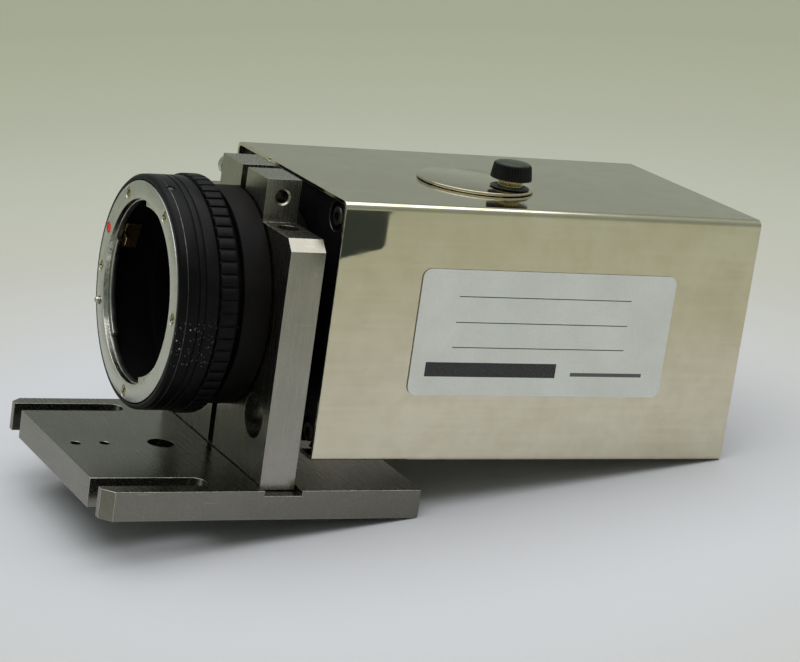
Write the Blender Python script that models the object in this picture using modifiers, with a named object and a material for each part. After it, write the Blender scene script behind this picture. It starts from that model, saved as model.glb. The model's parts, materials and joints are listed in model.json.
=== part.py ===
"""Cooled astronomy camera on a split-clamp stand.

A box-shaped camera head (folded sheet cover, black front plate, thermoelectric
cooler, fan-cooled heat sink and two boards) carries a bayonet lens mount on a
round nose.  The nose is gripped by a split upright that stands on a slotted
base plate, so the whole head can be levelled about the lens axis.

Frame: metres, +Z up, the lens looks towards -Y, X is sideways.  The origin is
on the underside of the base plate, below the lens axis and level with the
front face of the upright.  All driving dimensions below are in millimetres.
"""

import math

import bmesh
import bpy
from mathutils import Matrix, Vector

MM = 0.001
GAP = 0.3                    # clearance between pieces that touch

# --- driving dimensions (mm) -------------------------------------------------

AXIS_Z = 51.0                # height of the lens axis

BASE_W, BASE_L, BASE_T = 82.4, 92.0, 8.0
BASE_FRONT = -45.3
BASE_CHAMFER = 3.0
BASE_CORNER_R = 1.2
SLOT_X, SLOT_W, SLOT_END = 32.8, 6.6, -14.0
GROOVE_FRONT, GROOVE_REAR, GROOVE_DEPTH = -0.35, 10.65, 1.4
TAPPED_HOLES_Y = (-39.3, -31.0)
TAPPED_R = 1.5
BOSS_HOLE_Y, BOSS_HOLE_R, BOSS_HOLE_DEPTH, BOSS_THROUGH_R = -14.5, 3.8, 4.0, 2.6
STAND_SCREW_X, STAND_SCREW_HOLE_R = 27.0, 2.3
HEAD_POCKET_R, HEAD_POCKET_DEPTH = 3.8, 4.4
M3_CLEARANCE_R = 1.8

PLATE_HALF_W, PLATE_T = 36.8, 10.0
SHOULDER_Z, SHOULDER_CHAMFER = 75.4, 3.0
BLOCK_HALF_W, BLOCK_TOP = 16.0, 87.2
SLIT_HALF = 1.85
SLIT_FLOOR_Z = 8.2
CLAMP_BORE_R = 27.2
CLAMP_SCREW_Z = 82.3
CLAMP_HEAD_L, CLAMP_SHANK_L = 8.5, 23.0
COUNTERSINK_DEPTH, COUNTERSINK_R = 0.7, 2.6
SIDE_HOLE_X, SIDE_HOLE_Z, SIDE_HOLE_R = 26.6, 24.5, 6.2
TOP_HOLE_X, TOP_HOLE_R, TOP_HOLE_DEPTH = 22.2, 3.05, 6.0

NOSE_R, NOSE_FRONT, NOSE_BORE_R = 30.0, -8.2, 20.0
NOSE_STOP_R, NOSE_STOP_Y = 15.0, 11.0
BARREL_R, BARREL_FRONT, BARREL_BORE_R = 32.0, -27.2, 27.0
BARREL_LIP_R, BARREL_LIP_FRONT = 22.0, -14.0
BARREL_CHAMFER = 0.6
GRIP_SEAT_R, TAIL_R = 30.2, 28.4
GRIP_R, GRIP_FRONT, GRIP_REAR, GRIP_RIBS = 32.7, -15.8, -10.8, 60
FLANGE_R, FLANGE_FRONT, FLANGE_T = 30.1, -27.4, 2.2
THROAT_R, TAB_R = 25.1, 23.1
TABS = ((40.0, 98.0), (157.0, 225.0), (285.0, 345.0))
FLANGE_SCREW_ANGLES = (0.0, 60.0, 120.0, 180.0, 270.0)
FLANGE_SCREW_PITCH_R = 28.0
DOT_ANGLE, DOT_R, DOT_HOLE_R = 155.7, 1.45, 1.6
PIN_ANGLE, PIN_R, PIN_HOLE_R = 200.0, 0.95, 1.25
SLIDER_ANGLE, SLIDER_R = 208.0, 31.6
LOCK_TRAVEL = 1.5
PIN_TAIL_Y = -25.1
SET_SCREW_ANGLE, SET_SCREW_Y, SET_SCREW_R, SET_SCREW_HOLE_R = 74.4, -24.3, 0.85, 1.15

BOX_HALF_W, BOX_BOTTOM, BOX_TOP = 38.0, 15.35, 86.65
BOX_FRONT, BOX_REAR = 13.5, 143.9
SHEET, BEND_R, LOW_BEND_R, FLANGE_W = 1.0, 2.0, 1.15, 8.0
COVER_SCREW_INSET, COVER_SCREW_ROWS = 4.6, (32.0, 128.0)
COVER_HEAD_R, COVER_SHANK_R, COVER_SCREW_L = 2.4, 1.4, 6.0
FRONT_PLATE_Y, FRONT_PLATE_T = 14.8, 6.0
CORNER_X, CORNER_Z = 29.6, 29.9
REAR_PANEL_Y, REAR_PANEL_T = 140.6, 1.5
VENT_PITCH, VENT_SPREAD_R, VENT_HALF_W = 5.4, 19.0, 1.5

DISC_X, DISC_Y, DISC_R, DISC_T = 5.94, 67.7, 16.6, 0.8
DISC_LIFT = 0.2
SHANK_R, SHANK_HOLE_R = 1.9, 2.4
COLLAR_R, COLLAR_T = 5.6, 0.6
NECK_R, NECK_H, NECK_WAIST_R = 3.5, 1.75, 3.1
TURN_GAP = 0.1                # clearance between the pieces that turn with the knob
ACCESS_X, ACCESS_Y, ACCESS_R = 2.5, 64.8, 8.0
KNOB_X, KNOB_Y = 14.3, 74.2
KNOB_R, KNOB_TOP_R, KNOB_H = 5.9, 5.2, 5.2
KNOB_NUT_R, KNOB_NUT_T = 4.0, 4.0
LABEL_Y, LABEL_Z, LABEL_CORNER = (38.8, 118.6), (34.3, 69.6), 2.5

FAN_SIZE, FAN_T, FAN_Z, FAN_Y = 40.0, 10.0, 58.0, 130.0
FAN_BORE_R, FAN_HUB_R, FAN_BLADES, BLADE_PITCH = 18.4, 9.0, 7, 38.0
BOARD_HALF_W, BOARD_T = 29.0, 1.6
BOARD_Y = (80.0, 124.0)
BOARD_LEVELS = {"main_board": 24.0, "readout_board": 40.0}


# --- scene and materials -----------------------------------------------------

for old in list(bpy.data.objects):
    bpy.data.objects.remove(old, do_unlink=True)

PARTS = bpy.data.collections.new("cooled_camera")
CUTTERS = bpy.data.collections.new("cutters")
bpy.context.scene.collection.children.link(PARTS)
bpy.context.scene.collection.children.link(CUTTERS)


def material(name, colour, roughness, metallic):
    mat = bpy.data.materials.new(name)
    mat.use_nodes = True
    shader = mat.node_tree.nodes["Principled BSDF"]
    shader.inputs["Base Color"].default_value = (*colour, 1.0)
    shader.inputs["Roughness"].default_value = roughness
    shader.inputs["Metallic"].default_value = metallic
    return mat


GREY_METAL = material("grey_anodised", (0.23, 0.22, 0.19), 0.42, 0.9)
BLACK_METAL = material("black_anodised", (0.012, 0.012, 0.013), 0.38, 0.2)
COVER_METAL = material("polished_cover", (0.56, 0.53, 0.45), 0.18, 1.0)
BRIGHT_METAL = material("bright_flange", (0.62, 0.62, 0.58), 0.3, 1.0)
STEEL = material("screw_steel", (0.42, 0.41, 0.38), 0.35, 1.0)
BRASS = material("brass", (0.52, 0.38, 0.16), 0.35, 1.0)
RED = material("index_red", (0.75, 0.04, 0.01), 0.5, 0.0)
LABEL_WHITE = material("label_white", (0.78, 0.78, 0.75), 0.5, 0.0)
BLACK_PLASTIC = material("black_plastic", (0.015, 0.015, 0.015), 0.45, 0.0)
BOARD_GREEN = material("board_green", (0.02, 0.13, 0.05), 0.4, 0.0)
GLASS = material("window_glass", (0.75, 0.82, 0.82), 0.05, 0.0)
CERAMIC = material("ceramic", (0.55, 0.5, 0.45), 0.5, 0.0)


# --- modelling helpers -------------------------------------------------------

def add_object(name, mesh, mat, cutter=False):
    obj = bpy.data.objects.new(name, mesh)
    if cutter:
        CUTTERS.objects.link(obj)
        obj.hide_render = True
        obj.display_type = "WIRE"
    else:
        PARTS.objects.link(obj)
        mesh.materials.append(mat)
    return obj


def finish_mesh(name, bm, smooth=False):
    bmesh.ops.recalc_face_normals(bm, faces=bm.faces)
    mesh = bpy.data.meshes.new(name)
    bm.to_mesh(mesh)
    bm.free()
    if smooth:
        mesh.shade_smooth()
        mesh.set_sharp_from_angle(angle=math.radians(35))
    return mesh


def box(name, low, high, mat=None, cutter=False):
    """A box between two corners, in mm."""
    bm = bmesh.new()
    bmesh.ops.create_cube(bm, size=1.0)
    size = [(b - a) * MM for a, b in zip(low, high)]
    centre = [(a + b) * 0.5 * MM for a, b in zip(low, high)]
    bmesh.ops.scale(bm, vec=size, verts=bm.verts)
    bmesh.ops.translate(bm, vec=centre, verts=bm.verts)
    return add_object(name, finish_mesh(name, bm), mat, cutter)


AXIS_TURN = {
    "X": Matrix.Rotation(math.radians(90), 4, "Y"),
    "Y": Matrix.Rotation(math.radians(-90), 4, "X"),
    "Z": Matrix.Identity(4),
}


def cylinder(name, start, length, radius, axis, mat=None, cutter=False, segments=32, end_radius=None):
    """A cylinder or cone from start, running length along +axis, in mm."""
    bm = bmesh.new()
    bmesh.ops.create_cone(bm, cap_ends=True, segments=segments, radius1=radius * MM,
                          radius2=(radius if end_radius is None else end_radius) * MM,
                          depth=length * MM)
    bmesh.ops.translate(bm, vec=(0, 0, length * 0.5 * MM), verts=bm.verts)
    bmesh.ops.transform(bm, matrix=AXIS_TURN[axis], verts=bm.verts)
    bmesh.ops.translate(bm, vec=Vector(start) * MM, verts=bm.verts)
    return add_object(name, finish_mesh(name, bm, smooth=True), mat, cutter)


def cut(obj, cutter, operation="DIFFERENCE"):
    mod = obj.modifiers.new(cutter.name, "BOOLEAN")
    mod.object = cutter
    mod.operation = operation
    mod.solver = "EXACT"


def join(obj, cutter):
    cut(obj, cutter, "UNION")


def arc(cx, cy, radius, start, end, steps):
    """Points on an arc, from start to end degrees, both ends included."""
    turn = [math.radians(start + (end - start) * i / steps) for i in range(steps + 1)]
    return [(cx + radius * math.cos(a), cy + radius * math.sin(a)) for a in turn]


def circle(cx, cy, radius, steps=32):
    return arc(cx, cy, radius, 0, 360, steps)[:-1]


PLATE_FRAME = {
    # the curve's own x, y and thickness directions, as world axes
    "XY": Matrix.Identity(4),
    "XZ": Matrix(((1, 0, 0, 0), (0, 0, -1, 0), (0, 1, 0, 0), (0, 0, 0, 1))),
    "YZ": Matrix(((0, 0, 1, 0), (1, 0, 0, 0), (0, 1, 0, 0), (0, 0, 0, 1))),
}
PLATE_NORMAL = {"XY": Vector((0, 0, 1)), "XZ": Vector((0, 1, 0)), "YZ": Vector((1, 0, 0))}


def plate(name, outlines, plane, low, thickness, mat=None, cutter=False):
    """A flat outline (and its holes) from low, thickness deep along the plane's normal, in mm."""
    curve = bpy.data.curves.new(name, "CURVE")
    curve.dimensions = "2D"
    curve.fill_mode = "BOTH"
    curve.extrude = thickness * 0.5 * MM
    for outline in outlines:
        spline = curve.splines.new("POLY")
        spline.points.add(len(outline) - 1)
        for point, (u, v) in zip(spline.points, outline):
            point.co = (u * MM, v * MM, 0.0, 1.0)
        spline.use_cyclic_u = True
    drawn = bpy.data.objects.new(name + "_outline", curve)
    PARTS.objects.link(drawn)
    drawn.matrix_world = Matrix.Translation(PLATE_NORMAL[plane] * (low + thickness * 0.5) * MM) \
        @ PLATE_FRAME[plane]
    bpy.context.view_layer.update()
    mesh = bpy.data.meshes.new_from_object(drawn.evaluated_get(bpy.context.evaluated_depsgraph_get()))
    place = drawn.matrix_world.copy()
    bpy.data.objects.remove(drawn, do_unlink=True)
    bm = bmesh.new()
    bm.from_mesh(mesh)
    bpy.data.meshes.remove(mesh)
    bmesh.ops.transform(bm, matrix=place, verts=bm.verts)
    bmesh.ops.remove_doubles(bm, verts=bm.verts, dist=1e-6)
    return add_object(name, finish_mesh(name, bm), mat, cutter)


def turned(name, profile, axis, centre, mat=None, cutter=False, steps=72):
    """A closed profile of (radius, distance along the axis) turned about an axis through centre."""
    area = sum(a[0] * b[1] - b[0] * a[1] for a, b in zip(profile, profile[1:] + profile[:1]))
    points = profile if area < 0 else profile[::-1]
    on_axis = [i for i, p in enumerate(points) if p[0] == 0.0]
    closed = not on_axis
    if on_axis:
        # an open profile that starts and ends on the axis
        first = next(i for i in on_axis if points[(i + 1) % len(points)][0] > 0.0)
        points = points[first:] + points[:first]
    bm = bmesh.new()
    verts = [bm.verts.new((r * MM, 0.0, h * MM)) for r, h in points]
    for a, b in zip(verts, verts[1:]):
        bm.edges.new((a, b))
    if closed:
        bm.edges.new((verts[-1], verts[0]))
    mesh = bpy.data.meshes.new(name)
    bm.to_mesh(mesh)
    bm.free()
    obj = add_object(name, mesh, mat, cutter)
    obj.matrix_world = Matrix.Translation(Vector(centre) * MM) @ AXIS_TURN[axis]
    screw = obj.modifiers.new("turn", "SCREW")
    screw.axis = "Z"
    screw.steps = screw.render_steps = steps
    screw.use_merge_vertices = True
    screw.merge_threshold = 1e-6
    screw.use_smooth_shade = True
    screw.use_normal_calculate = False
    return obj


def polar_ring(name, sections, mat):
    """A closed ring lofted through one closed section per angle: (degrees, [(radius, y), ...])."""
    bm = bmesh.new()
    rings = []
    for angle, section in sections:
        a = math.radians(angle)
        rings.append([bm.verts.new((r * math.cos(a) * MM, y * MM, (AXIS_Z + r * math.sin(a)) * MM))
                      for r, y in section])
    count = len(sections[0][1])
    for ring, following in zip(rings, rings[1:] + rings[:1]):
        for i in range(count):
            j = (i + 1) % count
            bm.faces.new((ring[i], ring[j], following[j], following[i]))
    return add_object(name, finish_mesh(name, bm, smooth=True), mat)


def polar(radius, angle):
    """The x, z of a point at radius and angle about the lens axis."""
    a = math.radians(angle)
    return radius * math.cos(a), AXIS_Z + radius * math.sin(a)


# --- stand -------------------------------------------------------------------

def make_base_plate():
    half = BASE_W / 2
    rear = BASE_FRONT + BASE_L
    c = BASE_CHAMFER
    slot_r = SLOT_W / 2
    slot_y = SLOT_END - slot_r
    outline = [(-half + c, BASE_FRONT)]
    for x in (-SLOT_X, SLOT_X):
        outline.append((x - slot_r, BASE_FRONT))
        outline += arc(x, slot_y, slot_r, 180, 0, 12)
        outline.append((x + slot_r, BASE_FRONT))
    outline += [(half - c, BASE_FRONT), (half, BASE_FRONT + c)]
    outline += arc(half - BASE_CORNER_R, rear - BASE_CORNER_R, BASE_CORNER_R, 0, 90, 4)
    outline += arc(BASE_CORNER_R - half, rear - BASE_CORNER_R, BASE_CORNER_R, 90, 180, 4)
    outline.append((-half, BASE_FRONT + c))
    holes = [circle(0, y, TAPPED_R, 20) for y in TAPPED_HOLES_Y]
    holes.append(circle(0, BOSS_HOLE_Y, BOSS_THROUGH_R, 24))
    holes += [circle(x, PLATE_T / 2, STAND_SCREW_HOLE_R, 24) for x in (-STAND_SCREW_X, STAND_SCREW_X)]
    base = plate("base_plate", [outline] + holes, "XY", 0.0, BASE_T, GREY_METAL)
    cut(base, box("groove_cut", (-half - 1, GROOVE_FRONT, BASE_T - GROOVE_DEPTH),
                  (half + 1, GROOVE_REAR, BASE_T + 1), cutter=True))
    cut(base, cylinder("boss_counterbore", (0, BOSS_HOLE_Y, BASE_T - BOSS_HOLE_DEPTH), BOSS_HOLE_DEPTH + 1,
                       BOSS_HOLE_R, "Z", cutter=True))
    for side, x in (("near", STAND_SCREW_X), ("far", -STAND_SCREW_X)):
        cut(base, cylinder("head_pocket_" + side, (x, PLATE_T / 2, -1), HEAD_POCKET_DEPTH + 1, HEAD_POCKET_R,
                           "Z", cutter=True))


def make_upright():
    foot = BASE_T - GROOVE_DEPTH + GAP
    s, w, b = SLIT_HALF, PLATE_HALF_W, BLOCK_HALF_W
    c = SHOULDER_CHAMFER
    slit_angle = math.degrees(math.asin(s / CLAMP_BORE_R))
    right = [(w, foot), (w, SHOULDER_Z - c), (w - c, SHOULDER_Z), (b, SHOULDER_Z), (b, BLOCK_TOP),
             (s, BLOCK_TOP)]
    right += arc(0, AXIS_Z, CLAMP_BORE_R, 90 - slit_angle, -90 + slit_angle, 28)
    right.append((s, SLIT_FLOOR_Z))
    outline = right + [(-x, z) for x, z in reversed(right)]
    holes = [circle(x, SIDE_HOLE_Z, SIDE_HOLE_R, 28) for x in (-SIDE_HOLE_X, SIDE_HOLE_X)]
    upright = plate("clamp_upright", [outline] + holes, "XZ", 0.0, PLATE_T, GREY_METAL)
    middle = PLATE_T / 2
    cut(upright, cylinder("clamp_hole", (-BLOCK_HALF_W - 1, middle, CLAMP_SCREW_Z), 2 * BLOCK_HALF_W + 2,
                          M3_CLEARANCE_R, "X", cutter=True, segments=24))
    cut(upright, cylinder("clamp_countersink", (BLOCK_HALF_W - COUNTERSINK_DEPTH, middle, CLAMP_SCREW_Z),
                          COUNTERSINK_DEPTH + GAP, TAPPED_R, "X", cutter=True, segments=24,
                          end_radius=COUNTERSINK_R))
    for side, sign in (("near", 1), ("far", -1)):
        cut(upright, cylinder("shoulder_hole_" + side,
                              (sign * TOP_HOLE_X, middle, SHOULDER_Z - TOP_HOLE_DEPTH),
                              TOP_HOLE_DEPTH + 1, TOP_HOLE_R, "Z", cutter=True))
        cut(upright, cylinder("foot_hole_" + side, (sign * STAND_SCREW_X, middle, foot - 1), 10.0,
                              STAND_SCREW_HOLE_R, "Z", cutter=True, segments=24))


def cap_screw(name, head_face, axis, direction, head, shank, mat, socket=True):
    """A cap screw: head_face is the centre of the head's outer face, head and shank are (radius, length)."""
    (hr, hl), (sr, sl) = head, shank
    edge = 0.15 * hr
    key = hr * 0.45
    depth = hl * 0.5
    profile = [(key, 0.0), (hr - edge, 0.0), (hr, edge), (hr, hl), (sr, hl), (sr, hl + sl), (0.0, hl + sl)]
    profile += [(0.0, depth), (key, depth)] if socket else [(0.0, 0.0)]
    if not socket:
        profile = profile[1:]
    profile = [(r, h * direction) for r, h in profile]
    return turned(name, profile, axis, head_face, mat, steps=16)


def make_stand_screws():
    for side, x in (("near", STAND_SCREW_X), ("far", -STAND_SCREW_X)):
        cap_screw("upright_screw_" + side, (x, PLATE_T / 2, 0.3), "Z", 1, (3.5, 3.8), (2.0, 11.5), STEEL)
    cap_screw("clamp_screw", (-BLOCK_HALF_W - GAP - CLAMP_HEAD_L, PLATE_T / 2, CLAMP_SCREW_Z), "X", 1,
              (2.75, CLAMP_HEAD_L), (1.5, CLAMP_SHANK_L), STEEL)


# --- lens mount --------------------------------------------------------------

def make_adapter_ring():
    seat = CLAMP_BORE_R - GAP
    rear = FRONT_PLATE_Y - GAP
    profile = [(NOSE_BORE_R, NOSE_FRONT), (NOSE_R - 0.5, NOSE_FRONT), (NOSE_R, NOSE_FRONT + 0.5),
               (NOSE_R, -GAP), (seat, -GAP), (seat, rear), (NOSE_STOP_R, rear), (NOSE_STOP_R, NOSE_STOP_Y),
               (NOSE_BORE_R, NOSE_STOP_Y)]
    turned("adapter_ring", profile, "Y", (0, 0, AXIS_Z), BLACK_METAL, steps=56)


def make_barrel():
    tail = NOSE_FRONT - GAP
    recess = FLANGE_FRONT + FLANGE_T + GAP
    rim_inner = FLANGE_R + GAP
    groove_front, groove_rear = GRIP_FRONT - 0.4, GRIP_REAR + 0.4
    profile = [(BARREL_BORE_R, recess), (rim_inner, recess), (rim_inner, BARREL_FRONT),
               (BARREL_R - BARREL_CHAMFER, BARREL_FRONT), (BARREL_R, BARREL_FRONT + BARREL_CHAMFER),
               (BARREL_R, groove_front), (GRIP_SEAT_R, groove_front), (GRIP_SEAT_R, groove_rear),
               (TAIL_R, groove_rear), (TAIL_R, tail), (BARREL_LIP_R, tail), (BARREL_LIP_R, BARREL_LIP_FRONT),
               (BARREL_BORE_R, BARREL_LIP_FRONT)]
    barrel = turned("mount_barrel", profile, "Y", (0, 0, AXIS_Z), BLACK_METAL, steps=64)
    # the well that the lock pin sinks into
    x, z = polar(FLANGE_SCREW_PITCH_R, PIN_ANGLE)
    cut(barrel, cylinder("pin_well", (x, recess - 1, z), LOCK_TRAVEL + 2, PIN_HOLE_R, "Y", cutter=True,
                         segments=16))
    # the window through which the release slider reaches the lock pin
    slider_x, slider_z = polar(SLIDER_R, SLIDER_ANGLE)
    window = box("slider_window_cut", (-3.4, -2.6, -2.4), (3.4, 2.6, 2.4), cutter=True)
    window.location = Vector((slider_x, recess + 0.4, slider_z)) * MM
    window.rotation_euler = (0.0, math.radians(-SLIDER_ANGLE), 0.0)
    cut(barrel, window)
    hole = cylinder("set_screw_hole", (0, 0, 0), 3.0, SET_SCREW_HOLE_R, "Z", cutter=True, segments=20)
    screw = cylinder("barrel_set_screw", (0, 0, 0), 1.2, SET_SCREW_R, "Z", STEEL, segments=16)
    for piece, radius in ((hole, BARREL_R + 1), (screw, BARREL_R - 0.2)):
        x, z = polar(radius, SET_SCREW_ANGLE)
        piece.location = Vector((x, SET_SCREW_Y, z)) * MM
        piece.rotation_euler = (0.0, math.radians(-90 - SET_SCREW_ANGLE), 0.0)
    cut(barrel, hole)


def make_grip_ring():
    inner = 30.5
    valley = GRIP_R - 0.55
    sections = []
    for rib in range(GRIP_RIBS):
        pitch = 360.0 / GRIP_RIBS
        start = rib * pitch
        for share, outer in ((0.0, GRIP_R), (0.66, GRIP_R), (0.74, valley), (0.92, valley)):
            sections.append((start + share * pitch, [
                (inner, GRIP_FRONT), (outer, GRIP_FRONT), (outer, GRIP_REAR), (inner, GRIP_REAR)]))
    polar_ring("grip_ring", sections, BLACK_METAL)


def make_flange():
    front, back = FLANGE_FRONT, FLANGE_FRONT + FLANGE_T
    step = front + 1.1
    rear = back + 0.9
    ramp = 1.0

    def section(inner):
        return [(FLANGE_R, front + 0.15), (FLANGE_R - 0.15, front), (THROAT_R, front), (THROAT_R - 0.1, step),
                (inner, step), (inner, rear), (26.6, rear), (26.6, back), (FLANGE_R, back)]

    sections = []
    for start, end in TABS:
        steps = max(2, round((end - start) / 7))
        sections.append((start - ramp, section(THROAT_R - 0.15)))
        sections += [(start + (end - start) * i / steps, section(TAB_R)) for i in range(steps + 1)]
        sections.append((end + ramp, section(THROAT_R - 0.15)))
    for index, (start, end) in enumerate(TABS):
        following = TABS[(index + 1) % len(TABS)][0] + (360 if index == len(TABS) - 1 else 0)
        steps = round((following - end) / 7)
        for i in range(1, steps):
            sections.append(((end + (following - end) * i / steps) % 360, section(THROAT_R - 0.15)))
    sections.sort(key=lambda item: item[0])
    flange = polar_ring("bayonet_flange", sections, BRIGHT_METAL)
    for number, angle in enumerate(FLANGE_SCREW_ANGLES, 1):
        x, z = polar(FLANGE_SCREW_PITCH_R, angle)
        cut(flange, cylinder(f"flange_screw_hole_{number}", (x, front - 0.5, z), FLANGE_T + 1.2, 1.85, "Y",
                             cutter=True, segments=16))
    for label, angle, radius in (("dot", DOT_ANGLE, DOT_HOLE_R), ("pin", PIN_ANGLE, PIN_HOLE_R)):
        x, z = polar(FLANGE_SCREW_PITCH_R, angle)
        depth = 0.9 if label == "dot" else FLANGE_T + 1.2
        cut(flange, cylinder(label + "_hole", (x, front - 0.5, z), depth, radius, "Y", cutter=True,
                             segments=16))


def make_flange_screws():
    for number, angle in enumerate(FLANGE_SCREW_ANGLES, 1):
        x, z = polar(FLANGE_SCREW_PITCH_R, angle)
        front = FLANGE_FRONT + 0.05
        profile = [(0.0, front), (1.55, front), (1.55, front + 0.4), (0.8, front + 1.1), (0.8, PIN_TAIL_Y),
                   (0.0, PIN_TAIL_Y)]
        turned(f"flange_screw_{number}", profile, "Y", (x, 0, z), STEEL, steps=14)
    x, z = polar(FLANGE_SCREW_PITCH_R, DOT_ANGLE)
    cylinder("index_dot", (x, FLANGE_FRONT + 0.05, z), 0.3, DOT_R, "Y", RED, segments=20)


def make_lens_lock():
    x, z = polar(FLANGE_SCREW_PITCH_R, PIN_ANGLE)
    tip = FLANGE_FRONT - 1.3
    profile = [(0.0, tip), (PIN_R - 0.25, tip), (PIN_R, tip + 0.25), (PIN_R, PIN_TAIL_Y), (0.0, PIN_TAIL_Y)]
    turned("lock_pin", profile, "Y", (x, 0, z), STEEL, steps=14)
    x, z = polar(SLIDER_R, SLIDER_ANGLE)
    slider = box("release_slider", (-0.9, -1.4, -1.9), (1.4, 0.0, 1.9), BLACK_METAL)
    slider.location = Vector((x, -24.2, z)) * MM
    slider.rotation_euler = (0.0, math.radians(-SLIDER_ANGLE), 0.0)
    bevel = slider.modifiers.new("edges", "BEVEL")
    bevel.width = 0.3 * MM
    bevel.segments = 2


def make_aperture_lever():
    """A small sprung tab just inside the throat that moves the lens's diaphragm lever."""
    points = arc(0, AXIS_Z, 26.4, 148, 166, 8) + arc(0, AXIS_Z, 25.6, 166, 148, 8)
    lever = plate("aperture_lever", [points], "XZ", -23.6, 4.6, BRASS)
    finger = arc(0, AXIS_Z, 25.9, 154, 160, 3) + arc(0, AXIS_Z, 22.4, 160, 154, 3)
    join(lever, plate("lever_finger", [finger], "XZ", -23.9, 1.4, cutter=True))


# --- camera head -------------------------------------------------------------

def make_front_plate():
    low = BOX_BOTTOM + 2 * SHEET + GAP
    high = BOX_TOP - SHEET - GAP
    w = BOX_HALF_W - SHEET - GAP
    c = 1.5
    outline = [(-w + c, low), (w - c, low), (w, low + c), (w, high - c), (w - c, high), (-w + c, high),
               (-w, high - c), (-w, low + c)]
    bolts = [circle(sx * CORNER_X, AXIS_Z + sz * CORNER_Z, M3_CLEARANCE_R, 12)
             for sx in (-1, 1) for sz in (-1, 1)]
    front = plate("front_plate", [outline, circle(0, AXIS_Z, NOSE_STOP_R, 32)] + bolts, "XZ", FRONT_PLATE_Y,
                  FRONT_PLATE_T, BLACK_METAL)
    for index, (sx, sz) in enumerate(((1, 1), (1, -1), (-1, 1), (-1, -1)), 1):
        cut(front, cylinder(f"bolt_pocket_{index}", (sx * CORNER_X, FRONT_PLATE_Y - 1, AXIS_Z + sz * CORNER_Z),
                            4.3, 4.1, "Y", cutter=True, segments=16))


def make_tie_bolts():
    for index, (sx, sz) in enumerate(((1, 1), (1, -1), (-1, 1), (-1, -1)), 1):
        x, z = sx * CORNER_X, AXIS_Z + sz * CORNER_Z
        face = FRONT_PLATE_Y + 0.2
        shank = REAR_PANEL_Y + REAR_PANEL_T + 3.0 - face - 2.8
        cap_screw(f"tie_bolt_{index}", (x, face, z), "Y", 1, (2.75, 2.8), (1.5, shank), STEEL)
        nut_y = REAR_PANEL_Y + REAR_PANEL_T + GAP
        across = 5.5
        hexagon = circle(x, z, across / math.sqrt(3), 6)
        plate(f"rear_nut_{index}", [hexagon, circle(x, z, M3_CLEARANCE_R, 12)], "XZ", nut_y, 2.2, STEEL)


def cover_outline():
    """The sheet's section, seen along Y: two sides, a top and two short bottom flanges."""
    w, low, top, r, q, t = BOX_HALF_W, BOX_BOTTOM, BOX_TOP, BEND_R, LOW_BEND_R, SHEET
    outer = [(w - FLANGE_W, low)] + arc(w - q, low + q, q, -90, 0, 4) + arc(w - r, top - r, r, 0, 90, 5)
    inner = arc(w - r, top - r, r - t, 90, 0, 5) + arc(w - q, low + q, q - t, 0, -90, 3)
    inner.append((w - FLANGE_W, low + t))
    left_outer = [(-x, z) for x, z in reversed(outer)]
    left_inner = [(-x, z) for x, z in reversed(inner)]
    return outer + left_outer + left_inner + inner


def make_cover():
    cover = plate("housing_cover", [cover_outline()], "XZ", BOX_FRONT, BOX_REAR - BOX_FRONT, COVER_METAL)
    cut(cover, cylinder("access_hole", (ACCESS_X, ACCESS_Y, BOX_TOP - 3), 5.0, ACCESS_R, "Z", cutter=True,
                        segments=40))
    cut(cover, cylinder("knob_hole", (KNOB_X, KNOB_Y, BOX_TOP - 3), 5.0, SHANK_HOLE_R, "Z", cutter=True,
                        segments=16))
    for index, (x, y) in enumerate(cover_screw_places(), 1):
        cut(cover, cylinder(f"cover_screw_hole_{index}", (x, y, BOX_BOTTOM - 1), 3.0, M3_CLEARANCE_R, "Z",
                            cutter=True, segments=16))
        cut(cover, cylinder(f"cover_screw_sink_{index}", (x, y, BOX_BOTTOM - GAP), SHEET + GAP,
                            COVER_HEAD_R + 2 * GAP, "Z", cutter=True, segments=16, end_radius=M3_CLEARANCE_R))


def cover_screw_places():
    x = BOX_HALF_W - COVER_SCREW_INSET
    return [(sx * x, y) for sx in (1, -1) for y in COVER_SCREW_ROWS]


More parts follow.
